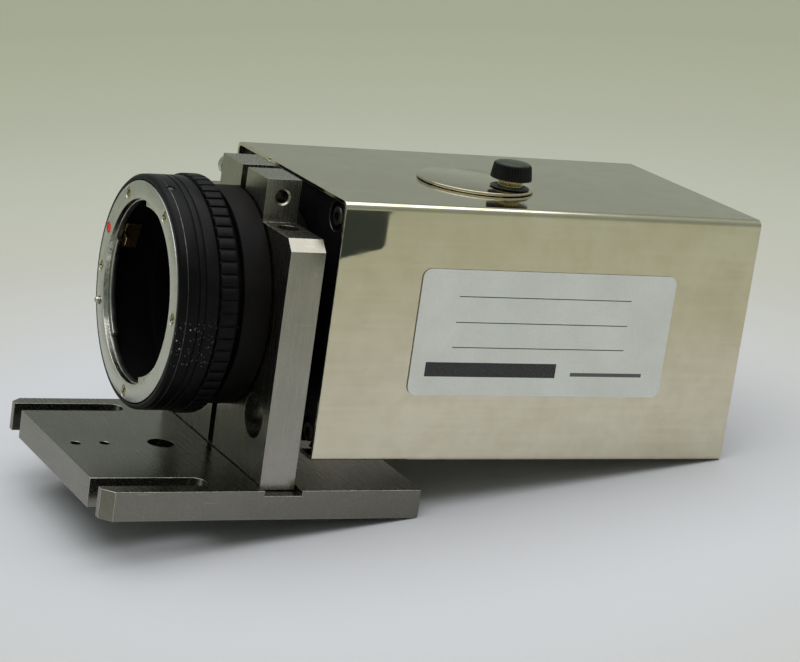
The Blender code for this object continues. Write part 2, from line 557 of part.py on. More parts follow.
def make_chassis():
    """A bottom pan with the rear panel folded up from it."""
    low = BOX_BOTTOM + SHEET + GAP
    top = BOX_TOP - SHEET - GAP
    t = REAR_PANEL_T
    start = FRONT_PLATE_Y + FRONT_PLATE_T + GAP
    outer_y = REAR_PANEL_Y + t
    r = 2.0
    profile = [(start, low)] + arc(outer_y - r, low + r, r, -90, 0, 4) + [(outer_y, top), (REAR_PANEL_Y, top)]
    profile += arc(outer_y - r, low + r, r - t, 0, -90, 4) + [(start, low + t)]
    w = BOX_HALF_W - SHEET - GAP - 0.2
    chassis = plate("chassis", [profile], "YZ", -w, 2 * w, COVER_METAL)
    for index, (sx, sz) in enumerate(((1, 1), (1, -1), (-1, 1), (-1, -1)), 1):
        cut(chassis, cylinder(f"rear_bolt_hole_{index}", (sx * CORNER_X, outer_y - 4, AXIS_Z + sz * CORNER_Z),
                              6.0, M3_CLEARANCE_R, "Y", cutter=True, segments=16))
    for index, (x, y) in enumerate(cover_screw_places(), 1):
        cut(chassis, cylinder(f"pan_screw_hole_{index}", (x, y, low - 1), 4.0, M3_CLEARANCE_R, "Z",
                              cutter=True, segments=16))
    for column in range(-3, 4):
        x = column * VENT_PITCH
        reach = math.sqrt(VENT_SPREAD_R ** 2 - x ** 2) - VENT_HALF_W
        slot = arc(x, FAN_Z + reach, VENT_HALF_W, 0, 180, 4) + arc(x, FAN_Z - reach, VENT_HALF_W, 180, 360, 4)
        cut(chassis, plate(f"vent_slot_{column + 4}", [slot], "XZ", outer_y - 4, 6.0, cutter=True))
    cut(chassis, plate("data_cutout", [d_outline(DATA_X, DATA_Z, 12.6, 4.6)], "XZ", outer_y - 4, 6.0,
                       cutter=True))
    cut(chassis, cylinder("power_cutout", (POWER_X, outer_y - 4, POWER_Z), 6.0, 5.4, "Y", cutter=True))


def make_cover_screws():
    for index, (x, y) in enumerate(cover_screw_places(), 1):
        low = BOX_BOTTOM + 0.05
        profile = [(0.0, low), (COVER_HEAD_R, low), (COVER_SHANK_R, low + SHEET), (COVER_SHANK_R, low + COVER_SCREW_L),
                   (0.0, low + COVER_SCREW_L)]
        turned(f"cover_screw_{index}", profile, "Z", (x, y, 0), STEEL, steps=12)


def make_label():
    (y0, y1), (z0, z1), r = LABEL_Y, LABEL_Z, LABEL_CORNER
    outline = arc(y1 - r, z1 - r, r, 0, 90, 5) + arc(y0 + r, z1 - r, r, 90, 180, 5)
    outline += arc(y0 + r, z0 + r, r, 180, 270, 5) + arc(y1 - r, z0 + r, r, 270, 360, 5)
    plate("label_plate", [outline], "YZ", BOX_HALF_W + GAP, 0.2, LABEL_WHITE)


def make_access_cover():
    disc_low = BOX_TOP + DISC_LIFT
    disc_top = disc_low + DISC_T
    axis = (KNOB_X, KNOB_Y, 0)
    plate("access_disc", [circle(DISC_X, DISC_Y, DISC_R, 64), circle(KNOB_X, KNOB_Y, SHANK_HOLE_R, 20)], "XY",
          disc_low, DISC_T, COVER_METAL)
    low, edge = disc_top + TURN_GAP, 0.15
    high = low + COLLAR_T
    turned("thumb_collar", [(SHANK_HOLE_R, low), (COLLAR_R - edge, low), (COLLAR_R, low + edge),
                            (COLLAR_R, high - edge), (COLLAR_R - edge, high), (SHANK_HOLE_R, high)],
           "Z", axis, BLACK_METAL, steps=32)
    neck_low = high + TURN_GAP
    neck_top = neck_low + NECK_H
    waist, slope = neck_low + 0.45 * NECK_H, 0.2
    foot = BOX_TOP - SHEET - GAP - KNOB_NUT_T - 1.2
    turned("thumb_shank", [(0.0, foot), (SHANK_R, foot), (SHANK_R, neck_low), (NECK_R, neck_low),
                           (NECK_R, waist - slope), (NECK_WAIST_R, waist), (NECK_R, waist + slope),
                           (NECK_R, neck_top), (0.0, neck_top)], "Z", axis, BRASS, steps=24)
    make_knob(neck_top + TURN_GAP)
    nut_high = BOX_TOP - SHEET - GAP
    nut_low = nut_high - KNOB_NUT_T
    turned("knob_nut", [(SHANK_HOLE_R, nut_low), (KNOB_NUT_R, nut_low), (KNOB_NUT_R, nut_high),
                        (SHANK_HOLE_R, nut_high)], "Z", axis, STEEL, steps=16)


def make_knob(low):
    flutes = 24
    bm = bmesh.new()
    levels = ((0.0, KNOB_R - 0.3, 0.0), (0.3, KNOB_R, 1.0), (KNOB_H - 1.3, KNOB_TOP_R + 0.1, 1.0),
              (KNOB_H - 0.9, KNOB_TOP_R - 0.2, 0.3), (KNOB_H - 0.35, KNOB_TOP_R - 1.8, 0.0))
    rings = []
    for height, radius, depth in levels:
        ring = []
        for i in range(flutes * 2):
            r = radius - (0.28 * depth if i % 2 else 0.0)
            a = math.pi * i / flutes
            ring.append(bm.verts.new(((KNOB_X + r * math.cos(a)) * MM, (KNOB_Y + r * math.sin(a)) * MM,
                                      (low + height) * MM)))
        rings.append(ring)
    for ring, upper in zip(rings, rings[1:]):
        for i in range(flutes * 2):
            j = (i + 1) % (flutes * 2)
            bm.faces.new((ring[i], ring[j], upper[j], upper[i]))
    bm.faces.new(reversed(rings[0]))
    crown = bm.verts.new((KNOB_X * MM, KNOB_Y * MM, (low + KNOB_H) * MM))
    for i in range(flutes * 2):
        bm.faces.new((rings[-1][i], rings[-1][(i + 1) % (flutes * 2)], crown))
    add_object("thumb_knob", finish_mesh("thumb_knob", bm, smooth=True), BLACK_PLASTIC)


# --- inside the head ---------------------------------------------------------

CHAMBER_Y = (FRONT_PLATE_Y + FRONT_PLATE_T + GAP, 38.0)
CHAMBER_HALF = 24.0
WINDOW_R = 14.0
SINK_Y = (45.2, 74.0)
POWER_X, POWER_Z = 20.0, 29.0
DATA_X, DATA_Z = -12.0, 29.0


def make_chamber():
    y0, y1 = CHAMBER_Y
    chamber = box("sensor_chamber", (-CHAMBER_HALF, y0, AXIS_Z - CHAMBER_HALF),
                  (CHAMBER_HALF, y1, AXIS_Z + CHAMBER_HALF), BLACK_METAL)
    cut(chamber, cylinder("window_seat", (0, y0 - 1, AXIS_Z), 4.2, WINDOW_R + GAP, "Y", cutter=True, segments=36))
    cut(chamber, cylinder("chamber_throat", (0, y0 + 1, AXIS_Z), 6.0, 11.5, "Y", cutter=True, segments=36))
    cut(chamber, cylinder("chamber_cavity", (0, y0 + 5, AXIS_Z), y1 - y0, 20.0, "Y", cutter=True, segments=36))
    cylinder("window_glass", (0, y0 + 0.3, AXIS_Z), 1.5, WINDOW_R, "Y", GLASS, segments=36)
    turned("window_seal", [(12.2, y0 + 2.1), (13.6, y0 + 2.1), (13.6, y0 + 2.9), (12.2, y0 + 2.9)], "Y",
           (0, 0, AXIS_Z), BLACK_PLASTIC, steps=32)


def make_cooler():
    sensor = box("ccd_sensor", (-12.0, 28.0, AXIS_Z - 9.0), (12.0, 30.4, AXIS_Z + 9.0), CERAMIC)
    cut(sensor, box("sensor_well", (-8.0, 27.0, AXIS_Z - 6.0), (8.0, 29.0, AXIS_Z + 6.0), cutter=True))
    box("cold_finger", (-11.0, 30.7, AXIS_Z - 11.0), (11.0, 40.6, AXIS_Z + 11.0), BRIGHT_METAL)
    cooler = box("peltier_cooler", (-15.0, 40.9, AXIS_Z - 15.0), (15.0, 41.7, AXIS_Z + 15.0), CERAMIC)
    join(cooler, box("cooler_hot_side", (-15.0, 44.1, AXIS_Z - 15.0), (15.0, 44.9, AXIS_Z + 15.0), cutter=True))
    for column in range(4):
        for row in range(4):
            x = -12.0 + column * 6.4
            z = AXIS_Z - 12.0 + row * 6.4
            join(cooler, box(f"pellet_{column}_{row}", (x, 41.4, z), (x + 4.8, 44.4, z + 4.8), cutter=True))


def make_heat_sink():
    y0, y1 = SINK_Y
    fins, pitch, thick, base = 9, 6.2, 1.8, 5.0
    start = -(fins - 1) / 2 * pitch
    outline = [(start + (fins - 1) * pitch + thick / 2, y0), (start - thick / 2, y0)]
    for fin in range(fins):
        x = start + fin * pitch
        outline += [(x - thick / 2, y1), (x + thick / 2, y1)]
        if fin < fins - 1:
            outline += [(x + thick / 2, y0 + base), (x + pitch - thick / 2, y0 + base)]
    plate("heat_sink", [outline], "XY", AXIS_Z - 25.0, 50.0, BRIGHT_METAL)


def make_fan():
    half, r = FAN_SIZE / 2, FAN_BORE_R
    c = 2.0
    outline = [(-half + c, FAN_Z - half), (half - c, FAN_Z - half), (half, FAN_Z - half + c),
               (half, FAN_Z + half - c), (half - c, FAN_Z + half), (-half + c, FAN_Z + half),
               (-half, FAN_Z + half - c), (-half, FAN_Z - half + c)]
    frame = plate("fan_frame", [outline, circle(0, FAN_Z, r, 48)], "XZ", FAN_Y, FAN_T, BLACK_PLASTIC)
    join(frame, box("fan_strut_flat", (-r - 0.8, FAN_Y, FAN_Z - 1.2), (r + 0.8, FAN_Y + 1.2, FAN_Z + 1.2),
                    cutter=True))
    join(frame, box("fan_strut_tall", (-1.2, FAN_Y, FAN_Z - r - 0.8), (1.2, FAN_Y + 1.2, FAN_Z + r + 0.8),
                    cutter=True))
    join(frame, cylinder("fan_hub_seat", (0, FAN_Y, FAN_Z), 1.5, FAN_HUB_R, "Y", cutter=True))
    low, high = FAN_Y + 1.9, FAN_Y + 9.0
    rotor = cylinder("fan_rotor", (0, low, FAN_Z), high - low, FAN_HUB_R, "Y", BLACK_PLASTIC, segments=40)
    for blade in range(FAN_BLADES):
        turn = Matrix.Translation(Vector((0, 0, FAN_Z)) * MM) \
            @ Matrix.Rotation(math.tau * blade / FAN_BLADES, 4, "Y") \
            @ Matrix.Translation(Vector((13.0, (low + high) / 2, 0)) * MM) \
            @ Matrix.Rotation(math.radians(BLADE_PITCH), 4, "X")
        vane = box(f"fan_blade_{blade}", (-4.6, -3.9, -0.5), (4.6, 3.9, 0.5), cutter=True)
        vane.matrix_world = turn
        join(rotor, vane)


def make_boards():
    y0, y1 = BOARD_Y
    posts = [(sx * 25.0, y) for sx in (1, -1) for y in (y0 + 4, y1 - 4)]
    for name, z in BOARD_LEVELS.items():
        outline = [(-BOARD_HALF_W, y0), (BOARD_HALF_W, y0), (BOARD_HALF_W, y1), (-BOARD_HALF_W, y1)]
        if name == "readout_board":
            outline = [(x * 0.97, y) for x, y in outline]
        holes = [circle(x, y, M3_CLEARANCE_R, 16) for x, y in posts]
        board = plate(name, [outline] + holes, "XY", z, BOARD_T, BOARD_GREEN)
        for index, (x, y, w, d) in enumerate(((-9, 96, 14, 14), (12, 92, 9, 16), (10, 112, 16, 7))):
            join(board, box(f"{name}_chip_{index}", (x - w / 2, y - d / 2, z + 1.0),
                            (x + w / 2, y + d / 2, z + BOARD_T + 2.2), cutter=True))
    pan_top = BOX_BOTTOM + SHEET + GAP + REAR_PANEL_T
    for index, (x, y) in enumerate(posts, 1):
        profile = [(0.0, pan_top + GAP), (2.6, pan_top + GAP), (2.6, 23.7), (1.5, 23.7), (1.5, 25.9),
                   (2.6, 25.9), (2.6, 39.7), (1.5, 39.7), (1.5, 43.0), (0.0, 43.0)]
        turned(f"board_post_{index}", profile, "Z", (x, y, 0), BRASS, steps=12)


def d_outline(x, z, half_w, half_h):
    """A D-shaped connector outline, wider at the top."""
    r = 1.6
    lean = 1.3
    return (arc(x + half_w - r, z + half_h - r, r, 0, 90, 4) + arc(x - half_w + r, z + half_h - r, r, 90, 180, 4)
            + arc(x - half_w + r + lean, z - half_h + r, r, 180, 270, 4)
            + arc(x + half_w - r - lean, z - half_h + r, r, 270, 360, 4))


def make_connectors():
    inner_face = REAR_PANEL_Y - GAP
    outer_face = REAR_PANEL_Y + REAR_PANEL_T
    data = plate("data_connector", [d_outline(DATA_X, DATA_Z, 12.2, 4.2)], "XZ", inner_face - 4.0,
                 outer_face + 5.5 - inner_face + 4.0, STEEL)
    join(data, box("data_flange", (DATA_X - 16.5, inner_face - 2.0, DATA_Z - 5.9),
                   (DATA_X + 16.5, inner_face - 0.2, DATA_Z + 5.9), cutter=True))
    cut(data, plate("data_well", [d_outline(DATA_X, DATA_Z, 11.5, 3.5)], "XZ", outer_face + 0.5, 8.0,
                    cutter=True))
    y = inner_face
    profile = [(0.0, y - 5.0), (5.0, y - 5.0), (5.0, outer_face + GAP), (7.0, outer_face + GAP),
               (7.0, outer_face + 1.8), (5.6, outer_face + 2.2), (5.6, outer_face + 6.0),
               (4.6, outer_face + 6.0), (4.6, outer_face + 1.6), (0.0, outer_face + 1.6)]
    turned("power_connector", profile, "Y", (POWER_X, 0, POWER_Z), STEEL, steps=24)


make_base_plate()
make_upright()
make_stand_screws()
make_adapter_ring()
make_barrel()
make_grip_ring()
make_flange()
make_flange_screws()
make_lens_lock()
make_aperture_lever()
make_front_plate()
make_tie_bolts()
make_cover()
make_chassis()
make_cover_screws()
make_label()
make_access_cover()
make_chamber()
make_cooler()
make_heat_sink()
make_fan()
make_boards()
make_connectors()
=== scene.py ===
"""Looks of the cooled astronomy camera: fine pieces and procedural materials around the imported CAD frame.

Metres, +Z up, in the CAD model's own frame.  Lengths in this script are millimetres and are multiplied
by MM where they reach Blender.  Places come from the frame's boxes wherever the frame states them.
"""

import json
import math

import bmesh
import bpy
from mathutils import Matrix, Vector

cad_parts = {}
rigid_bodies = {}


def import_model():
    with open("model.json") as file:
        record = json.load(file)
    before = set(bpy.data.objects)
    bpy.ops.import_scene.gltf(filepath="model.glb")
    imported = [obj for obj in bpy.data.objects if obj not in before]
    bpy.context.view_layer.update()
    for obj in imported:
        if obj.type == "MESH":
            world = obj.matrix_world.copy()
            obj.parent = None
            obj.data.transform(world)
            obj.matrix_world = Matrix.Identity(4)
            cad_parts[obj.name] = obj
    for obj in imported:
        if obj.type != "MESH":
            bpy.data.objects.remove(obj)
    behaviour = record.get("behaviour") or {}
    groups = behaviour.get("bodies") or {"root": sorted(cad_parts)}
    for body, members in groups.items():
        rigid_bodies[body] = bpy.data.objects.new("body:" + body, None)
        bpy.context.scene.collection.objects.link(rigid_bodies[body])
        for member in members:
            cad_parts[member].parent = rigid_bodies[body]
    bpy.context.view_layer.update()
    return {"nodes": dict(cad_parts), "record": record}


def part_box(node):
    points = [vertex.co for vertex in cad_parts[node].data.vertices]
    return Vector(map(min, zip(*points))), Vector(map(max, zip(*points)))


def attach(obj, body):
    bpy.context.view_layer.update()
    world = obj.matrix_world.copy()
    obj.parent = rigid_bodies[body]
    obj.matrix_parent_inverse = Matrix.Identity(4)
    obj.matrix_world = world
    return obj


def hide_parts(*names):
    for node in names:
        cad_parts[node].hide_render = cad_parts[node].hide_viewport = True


MM = 0.001

for old in list(bpy.data.objects):
    bpy.data.objects.remove(old, do_unlink=True)

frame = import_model()

BODY_OF = {node: body for body, nodes in frame["record"]["behaviour"]["bodies"].items() for node in nodes}


# --- places from the frame (mm) -----------------------------------------------

def place(node):
    """The lowest and highest corners of a CAD node."""
    low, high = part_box(node)
    return low / MM, high / MM


def middle(node):
    low, high = place(node)
    return (low + high) / 2


BARREL_LOW, BARREL_HIGH = place("mount_barrel")
AXIS_Z = middle("mount_barrel").z
BARREL_R = (BARREL_HIGH.z - BARREL_LOW.z) / 2
FLANGE_LOW, FLANGE_HIGH = place("bayonet_flange")
FLANGE_R = (FLANGE_HIGH.x - FLANGE_LOW.x) / 2
GRIP_LOW, GRIP_HIGH = place("grip_ring")
GRIP_R = (GRIP_HIGH.z - GRIP_LOW.z) / 2
NOSE_LOW, NOSE_HIGH = place("adapter_ring")
NOSE_R = (NOSE_HIGH.z - NOSE_LOW.z) / 2
BASE_LOW, BASE_HIGH = place("base_plate")
UPRIGHT_FRONT = place("clamp_upright")[0].y
COVER_LOW, COVER_HIGH = place("housing_cover")
KNOB_LOW, KNOB_HIGH = place("thumb_knob")
KNOB = middle("thumb_knob")
LABEL_LOW, LABEL_HIGH = place("label_plate")

THROAT_R, LEDGE_R, TAB_R = 25.1, 24.75, 23.1
TABS = ((40.0, 98.0), (157.0, 225.0), (285.0, 345.0))   # where each bayonet tab starts and ends, in degrees
PIN_HOLE_R, LOCK_TRAVEL = 1.25, 1.5
SHEET, TOP_BEND, LOW_BEND, COVER_LIP = 1.0, 2.0, 1.15, 8.0
ACCESS_HOLE, ACCESS_HOLE_R = (2.5, 64.8), 8.0
SHANK_HOLE_R = 2.4
NICK_X, NICK_TURN = -14.6, 20

# --- the view ------------------------------------------------------------------

CAMERA_PLACE = (648.34, -283.49, 219.67)
CAMERA_AZIMUTH, CAMERA_ELEVATION, CAMERA_ROLL = 62.496, 13.692, 8.315
CAMERA_LENS = 118.92          # mm, on a 36 mm wide sensor

# The head is heavier than its stand, so the camera rests on the rear edges of its base and its cover.
REST_EDGE_Y, REST_EDGE_Z = BASE_HIGH.y, BASE_LOW.z
TILT = math.atan2(COVER_LOW.z - REST_EDGE_Z, COVER_HIGH.y - REST_EDGE_Y)


# --- materials -----------------------------------------------------------------

class Look:
    """A procedural material built around its Principled shader."""

    def __init__(self, name, metallic, **plain):
        self.material = bpy.data.materials.new(name)
        self.material.use_nodes = True
        self.tree = self.material.node_tree
        self.shader = self.tree.nodes["Principled BSDF"]
        self.point = self.tree.nodes.new("ShaderNodeTexCoord").outputs["Object"]
        self.feed("Metallic", metallic)
        for socket, value in plain.items():
            self.feed(socket.replace("_", " "), value)

    def join(self, value, socket):
        if isinstance(value, bpy.types.NodeSocket):
            self.tree.links.new(value, socket)
        elif isinstance(value, tuple) and socket.type == "RGBA":
            socket.default_value = (*value, 1.0)
        else:
            socket.default_value = value

    def feed(self, name, value):
        self.join(value, self.shader.inputs[name])

    def noise(self, size, stretch=(1, 1, 1), detail=3.0, rough=0.55, shift=0.0):
        """Noise with features of about size mm, drawn out by stretch along x, y and z."""
        mapping = self.tree.nodes.new("ShaderNodeMapping")
        self.join(self.point, mapping.inputs["Vector"])
        mapping.inputs["Scale"].default_value = [1 / (size * MM * s) for s in stretch]
        mapping.inputs["Location"].default_value = (shift, shift, shift)
        node = self.tree.nodes.new("ShaderNodeTexNoise")
        self.join(mapping.outputs["Vector"], node.inputs["Vector"])
        node.inputs["Scale"].default_value = 1.0
        node.inputs["Detail"].default_value = detail
        node.inputs["Roughness"].default_value = rough
        return node.outputs[0]

    def calc(self, operation, first, second=0.5):
        node = self.tree.nodes.new("ShaderNodeMath")
        node.operation = operation
        self.join(first, node.inputs[0])
        self.join(second, node.inputs[1])
        return node.outputs[0]

    def times(self, first, second):
        return self.calc("MULTIPLY", first, second)

    def plus(self, first, second):
        return self.calc("ADD", first, second)

    def ramp(self, value, low, high, start=0.0, end=1.0):
        """value mapped from low..high to start..end, and held at both ends."""
        node = self.tree.nodes.new("ShaderNodeMapRange")
        for socket, item in zip(node.inputs, (value, low, high, start, end)):
            self.join(item, socket)
        return node.outputs[0]

    def mix(self, share, first, second):
        node = self.tree.nodes.new("ShaderNodeMix")
        node.data_type = "RGBA"
        self.join(share, node.inputs[0])
        self.join(first, node.inputs[6])
        self.join(second, node.inputs[7])
        return node.outputs[2]

    def axis(self, name):
        """The x, y or z of the point, in mm."""
        node = self.tree.nodes.new("ShaderNodeSeparateXYZ")
        self.join(self.point, node.inputs[0])
        return self.times(node.outputs[name], 1 / MM)

    def reach(self, first, second, first_centre=0.0, second_centre=0.0):
        """The distance in mm from a line that runs through two centres, square to two axes."""
        a = self.calc("SUBTRACT", self.axis(first), first_centre)
        b = self.calc("SUBTRACT", self.axis(second), second_centre)
        return self.calc("SQRT", self.plus(self.times(a, a), self.times(b, b)))

    def rings(self, size, radius):
        """Noise that changes only with the radius, as a lathe tool leaves it."""
        node = self.tree.nodes.new("ShaderNodeTexNoise")
        node.noise_dimensions = "1D"
        self.join(self.times(radius, 1 / size), node.inputs["W"])
        node.inputs["Scale"].default_value = 1.0
        node.inputs["Detail"].default_value = 3.0
        return node.outputs[0]

    def specks(self, pitch, radius, share):
        """Small round specks on a random grid; share of its cells holds one."""
        node = self.tree.nodes.new("ShaderNodeTexVoronoi")
        self.join(self.point, node.inputs["Vector"])
        node.inputs["Scale"].default_value = 1 / (pitch * MM)
        split = self.tree.nodes.new("ShaderNodeSeparateColor")
        self.join(node.outputs["Color"], split.inputs[0])
        chosen = self.calc("LESS_THAN", split.outputs[0], share)
        edge = radius / pitch
        return self.times(chosen, self.ramp(node.outputs["Distance"], 0.6 * edge, edge, 1.0, 0.0))

    def bump(self, height, depth):
        """Surface relief, depth mm at a height of 1."""
        node = self.tree.nodes.new("ShaderNodeBump")
        node.inputs["Strength"].default_value = 1.0
        node.inputs["Distance"].default_value = depth * MM
        self.join(height, node.inputs["Height"])
        self.feed("Normal", node.outputs[0])

    def done(self, tone, roughness, relief=None, depth=0.0):
        """The material, with its colour, roughness and relief in place."""
        self.feed("Base Color", tone)
        self.feed("Roughness", roughness)
        if relief is not None:
            self.bump(relief, depth)
        return self.material


def grey_metal(name, along, strength=1.0):
    """Satin grey anodised aluminium with faint machining lines drawn out along one direction."""
    look = Look(name, 1.0)
    cloud = look.ramp(look.noise(16, detail=5), 0.35, 0.68)
    lines = look.noise(0.55, stretch=along, detail=3)
    grain = look.noise(0.22, detail=2)
    low, high, bright = (tuple(strength * c for c in tone) for tone in
                         ((0.292, 0.28, 0.238), (0.335, 0.322, 0.28), (0.4, 0.385, 0.335)))
    tone = look.mix(cloud, low, high)
    tone = look.mix(look.ramp(lines, 0.4, 0.75, 0.0, 0.45), tone, bright)
    dirt = look.ramp(look.noise(4.5, detail=7, rough=0.65, shift=3.1), 0.6, 0.76, 0.0, 0.35)
    tone = look.mix(dirt, tone, (0.17, 0.155, 0.125))
    spots = look.times(look.specks(5.0, 0.22, 0.12), 0.55)
    tone = look.mix(spots, tone, (0.1, 0.09, 0.07))
    scratches = look.ramp(look.noise(0.9, stretch=(6, 9, 0.5), detail=1, shift=7.7), 0.75, 0.775)
    tone = look.mix(look.times(scratches, 0.3), tone, (0.55, 0.54, 0.49))
    relief = look.plus(look.times(grain, 0.3), look.times(lines, 0.8))
    blend = look.plus(look.times(lines, 0.5), look.times(grain, 0.5))
    return look.done(tone, look.ramp(blend, 0.3, 0.7, 0.22, 0.3), relief, 0.003)


def edge_wear_and_highlight(name, tone):
    """Bare metal where an edge has lost its finish, laid on every bevelled edge: partly wear, partly a
    painted highlight along the edges.
    """
    look = Look(name, 1.0)
    wear = look.noise(1.4, detail=5)
    tone = look.mix(look.ramp(wear, 0.35, 0.62), tuple(0.5 * c for c in tone), tone)
    return look.done(tone, look.ramp(wear, 0.3, 0.7, 0.42, 0.26), look.noise(0.3, detail=3), 0.02)


def sheet_metal(name):
    """Polished sheet steel gone hazy and yellowish, with smudges, rolling lines, specks and scratches."""
    look = Look(name, 1.0)
    haze = look.ramp(look.noise(34, detail=5, rough=0.6), 0.36, 0.66)
    smudge = look.ramp(look.noise(7.5, detail=7, rough=0.62, shift=5.3), 0.42, 0.72)
    rolling = look.noise(0.5, stretch=(3, 70, 3), detail=3)
    tone = look.mix(haze, (0.645, 0.592, 0.44), (0.705, 0.658, 0.52))
    tone = look.mix(look.times(smudge, 0.55), tone, (0.57, 0.51, 0.36))
    tone = look.mix(look.ramp(rolling, 0.4, 0.8, 0.0, 0.22), tone, (0.8, 0.77, 0.66))
    spots = look.times(look.specks(6.5, 0.3, 0.14), 0.7)
    tone = look.mix(spots, tone, (0.13, 0.105, 0.07))
    scratches = look.ramp(look.noise(1.1, stretch=(0.6, 14, 3), detail=1, shift=2.2), 0.77, 0.79)
    tone = look.mix(look.times(scratches, 0.35), tone, (0.36, 0.33, 0.26))
    haze = look.plus(look.times(haze, 0.4), look.times(smudge, 0.6))
    haze = look.plus(haze, look.times(rolling, 0.25))
    swell = look.times(look.noise(26, detail=1, rough=0.3, shift=1.7), 6.0)
    relief = look.plus(swell, look.plus(rolling, look.times(scratches, -1.5)))
    return look.done(tone, look.ramp(haze, 0.1, 1.0, 0.055, 0.15), relief, 0.006)


def black_metal(name, sheen=0.32, tint=(0.0034, 0.0033, 0.0039), chips=0.0):
    """Black anodised aluminium with a fine grain, dust and, where chips is set, paint chips near one side."""
    look = Look(name, 0.0, Specular_IOR_Level=0.08)
    grain = look.noise(0.35, detail=3)
    cloud = look.ramp(look.noise(9, detail=5, shift=4.4), 0.35, 0.7)
    tone = look.mix(cloud, tint, tuple(2.1 * c for c in tint))
    dust = look.times(look.specks(2.6, 0.15, 0.1), 0.3)
    tone = look.mix(dust, tone, (0.22, 0.21, 0.19))
    rub = look.ramp(look.noise(0.8, stretch=(1, 1, 7), detail=4, shift=9.1), 0.66, 0.74, 0.0, 0.25)
    tone = look.mix(rub, tone, (0.03, 0.03, 0.032))
    if chips:
        side = look.times(look.ramp(look.axis("Z"), AXIS_Z - 13, AXIS_Z - 10),
                          look.ramp(look.axis("Z"), AXIS_Z - 1, AXIS_Z + 2, 1.0, 0.0))
        side = look.times(side, look.ramp(look.axis("X"), 24, 27))
        flakes = look.ramp(look.noise(0.75, detail=4, rough=0.7, shift=6.0), chips, chips + 0.03)
        tone = look.mix(look.times(side, flakes), tone, (0.55, 0.54, 0.5))
    blend = look.plus(grain, look.times(cloud, 0.4))
    return look.done(tone, look.ramp(blend, 0.3, 1.1, sheen, sheen + 0.16), grain, 0.012)


def lathe_metal(name):
    """Satin chrome, faced on a lathe about the lens axis and a little grimy."""
    look = Look(name, 1.0, Anisotropic=0.55)
    tangent = look.tree.nodes.new("ShaderNodeTangent")
    tangent.direction_type = "RADIAL"
    tangent.axis = "Y"
    look.feed("Tangent", tangent.outputs[0])
    radius = look.reach("X", "Z", 0.0, AXIS_Z)
    cuts = look.rings(0.14, radius)
    cloud = look.ramp(look.noise(6.5, detail=6, rough=0.6), 0.38, 0.68)
    tone = look.mix(cloud, (0.54, 0.545, 0.515), (0.64, 0.645, 0.615))
    grime = look.ramp(look.noise(2.2, detail=7, rough=0.7, shift=8.0), 0.6, 0.74, 0.0, 0.5)
    tone = look.mix(grime, tone, (0.27, 0.25, 0.2))
    tone = look.mix(look.ramp(cuts, 0.55, 0.8, 0.0, 0.25), tone, (0.42, 0.42, 0.4))
    relief = look.plus(cuts, look.noise(0.4, detail=3))
    return look.done(tone, look.ramp(look.plus(cuts, cloud), 0.3, 1.6, 0.24, 0.4), relief, 0.006)


def plain_metal(name, tone, dirt, rough=(0.26, 0.42)):
    """Bare metal for small pieces: tone with patches of dirt and a fine grain."""
    look = Look(name, 1.0)
    grime = look.ramp(look.noise(0.9, detail=6, rough=0.65), 0.46, 0.68)
    tone = look.mix(look.times(grime, 0.75), tone, dirt)
    return look.done(tone, look.ramp(grime, 0.0, 1.0, *rough), look.noise(0.25, detail=3), 0.01)


def plastic(name, tone, top_sheen, sheen=(0.32, 0.5)):
    """Moulded plastic with a fine grain; faces that look up are lightened to the second tone, patchy with the
    cloud: a painted sheen of the light from overhead.
    """
    look = Look(name, 0.0, Specular_IOR_Level=0.25)
    grain = look.noise(0.3, detail=3)
    cloud = look.ramp(look.noise(2.4, detail=5), 0.35, 0.7)
    tone = look.mix(cloud, tone, tuple(1.9 * c for c in tone))
    facing = look.tree.nodes.new("ShaderNodeSeparateXYZ")
    geometry = look.tree.nodes.new("ShaderNodeNewGeometry")
    look.join(geometry.outputs["Normal"], facing.inputs[0])
    # Painted sheen: faces turned up to the overhead light, broken up by the cloud.
    top = look.times(look.ramp(facing.outputs["Z"], 0.55, 0.95), look.ramp(cloud, 0.0, 1.0, 0.45, 1.0))
    return look.done(look.mix(top, tone, top_sheen), look.ramp(grain, 0.3, 0.7, *sheen), grain, 0.02)


def paint(name, tone, shade):
    """Enamel in a dimple."""
    look = Look(name, 0.0, Specular_IOR_Level=0.15)
    cloud = look.ramp(look.noise(0.7, detail=4), 0.3, 0.7)
    tone = look.mix(cloud, shade, tone)
    return look.done(tone, look.ramp(cloud, 0.0, 1.0, 0.42, 0.3), look.noise(0.5, detail=2), 0.02)


def label_film(name):
    """White satin label film with a sandy grain, slight yellowing and grey rubs."""
    look = Look(name, 0.0, Specular_IOR_Level=0.35)
    sand = look.noise(0.32, detail=2, rough=0.7)
    cloud = look.ramp(look.noise(13, detail=5), 0.35, 0.7)
    tone = look.mix(cloud, (0.72, 0.73, 0.69), (0.8, 0.805, 0.78))
    tone = look.mix(look.ramp(sand, 0.4, 0.75, 0.0, 0.32), tone, (0.5, 0.51, 0.48))
    rub = look.ramp(look.noise(2.6, stretch=(1, 1, 3), detail=6, rough=0.7, shift=2.4), 0.66, 0.76, 0.0, 0.35)
    tone = look.mix(rub, tone, (0.42, 0.42, 0.4))
    return look.done(tone, look.ramp(sand, 0.3, 0.7, 0.36, 0.5), sand, 0.008)


def ink(name, tone, fade):
    """Printing ink that thins in places."""
    look = Look(name, 0.0)
    thin = look.ramp(look.noise(0.5, detail=5, rough=0.7), 0.5, 0.72)
    tone = look.mix(look.times(thin, 0.6), tone, fade)
    return look.done(tone, look.ramp(thin, 0.0, 1.0, 0.34, 0.5), look.noise(0.32, detail=2), 0.004)


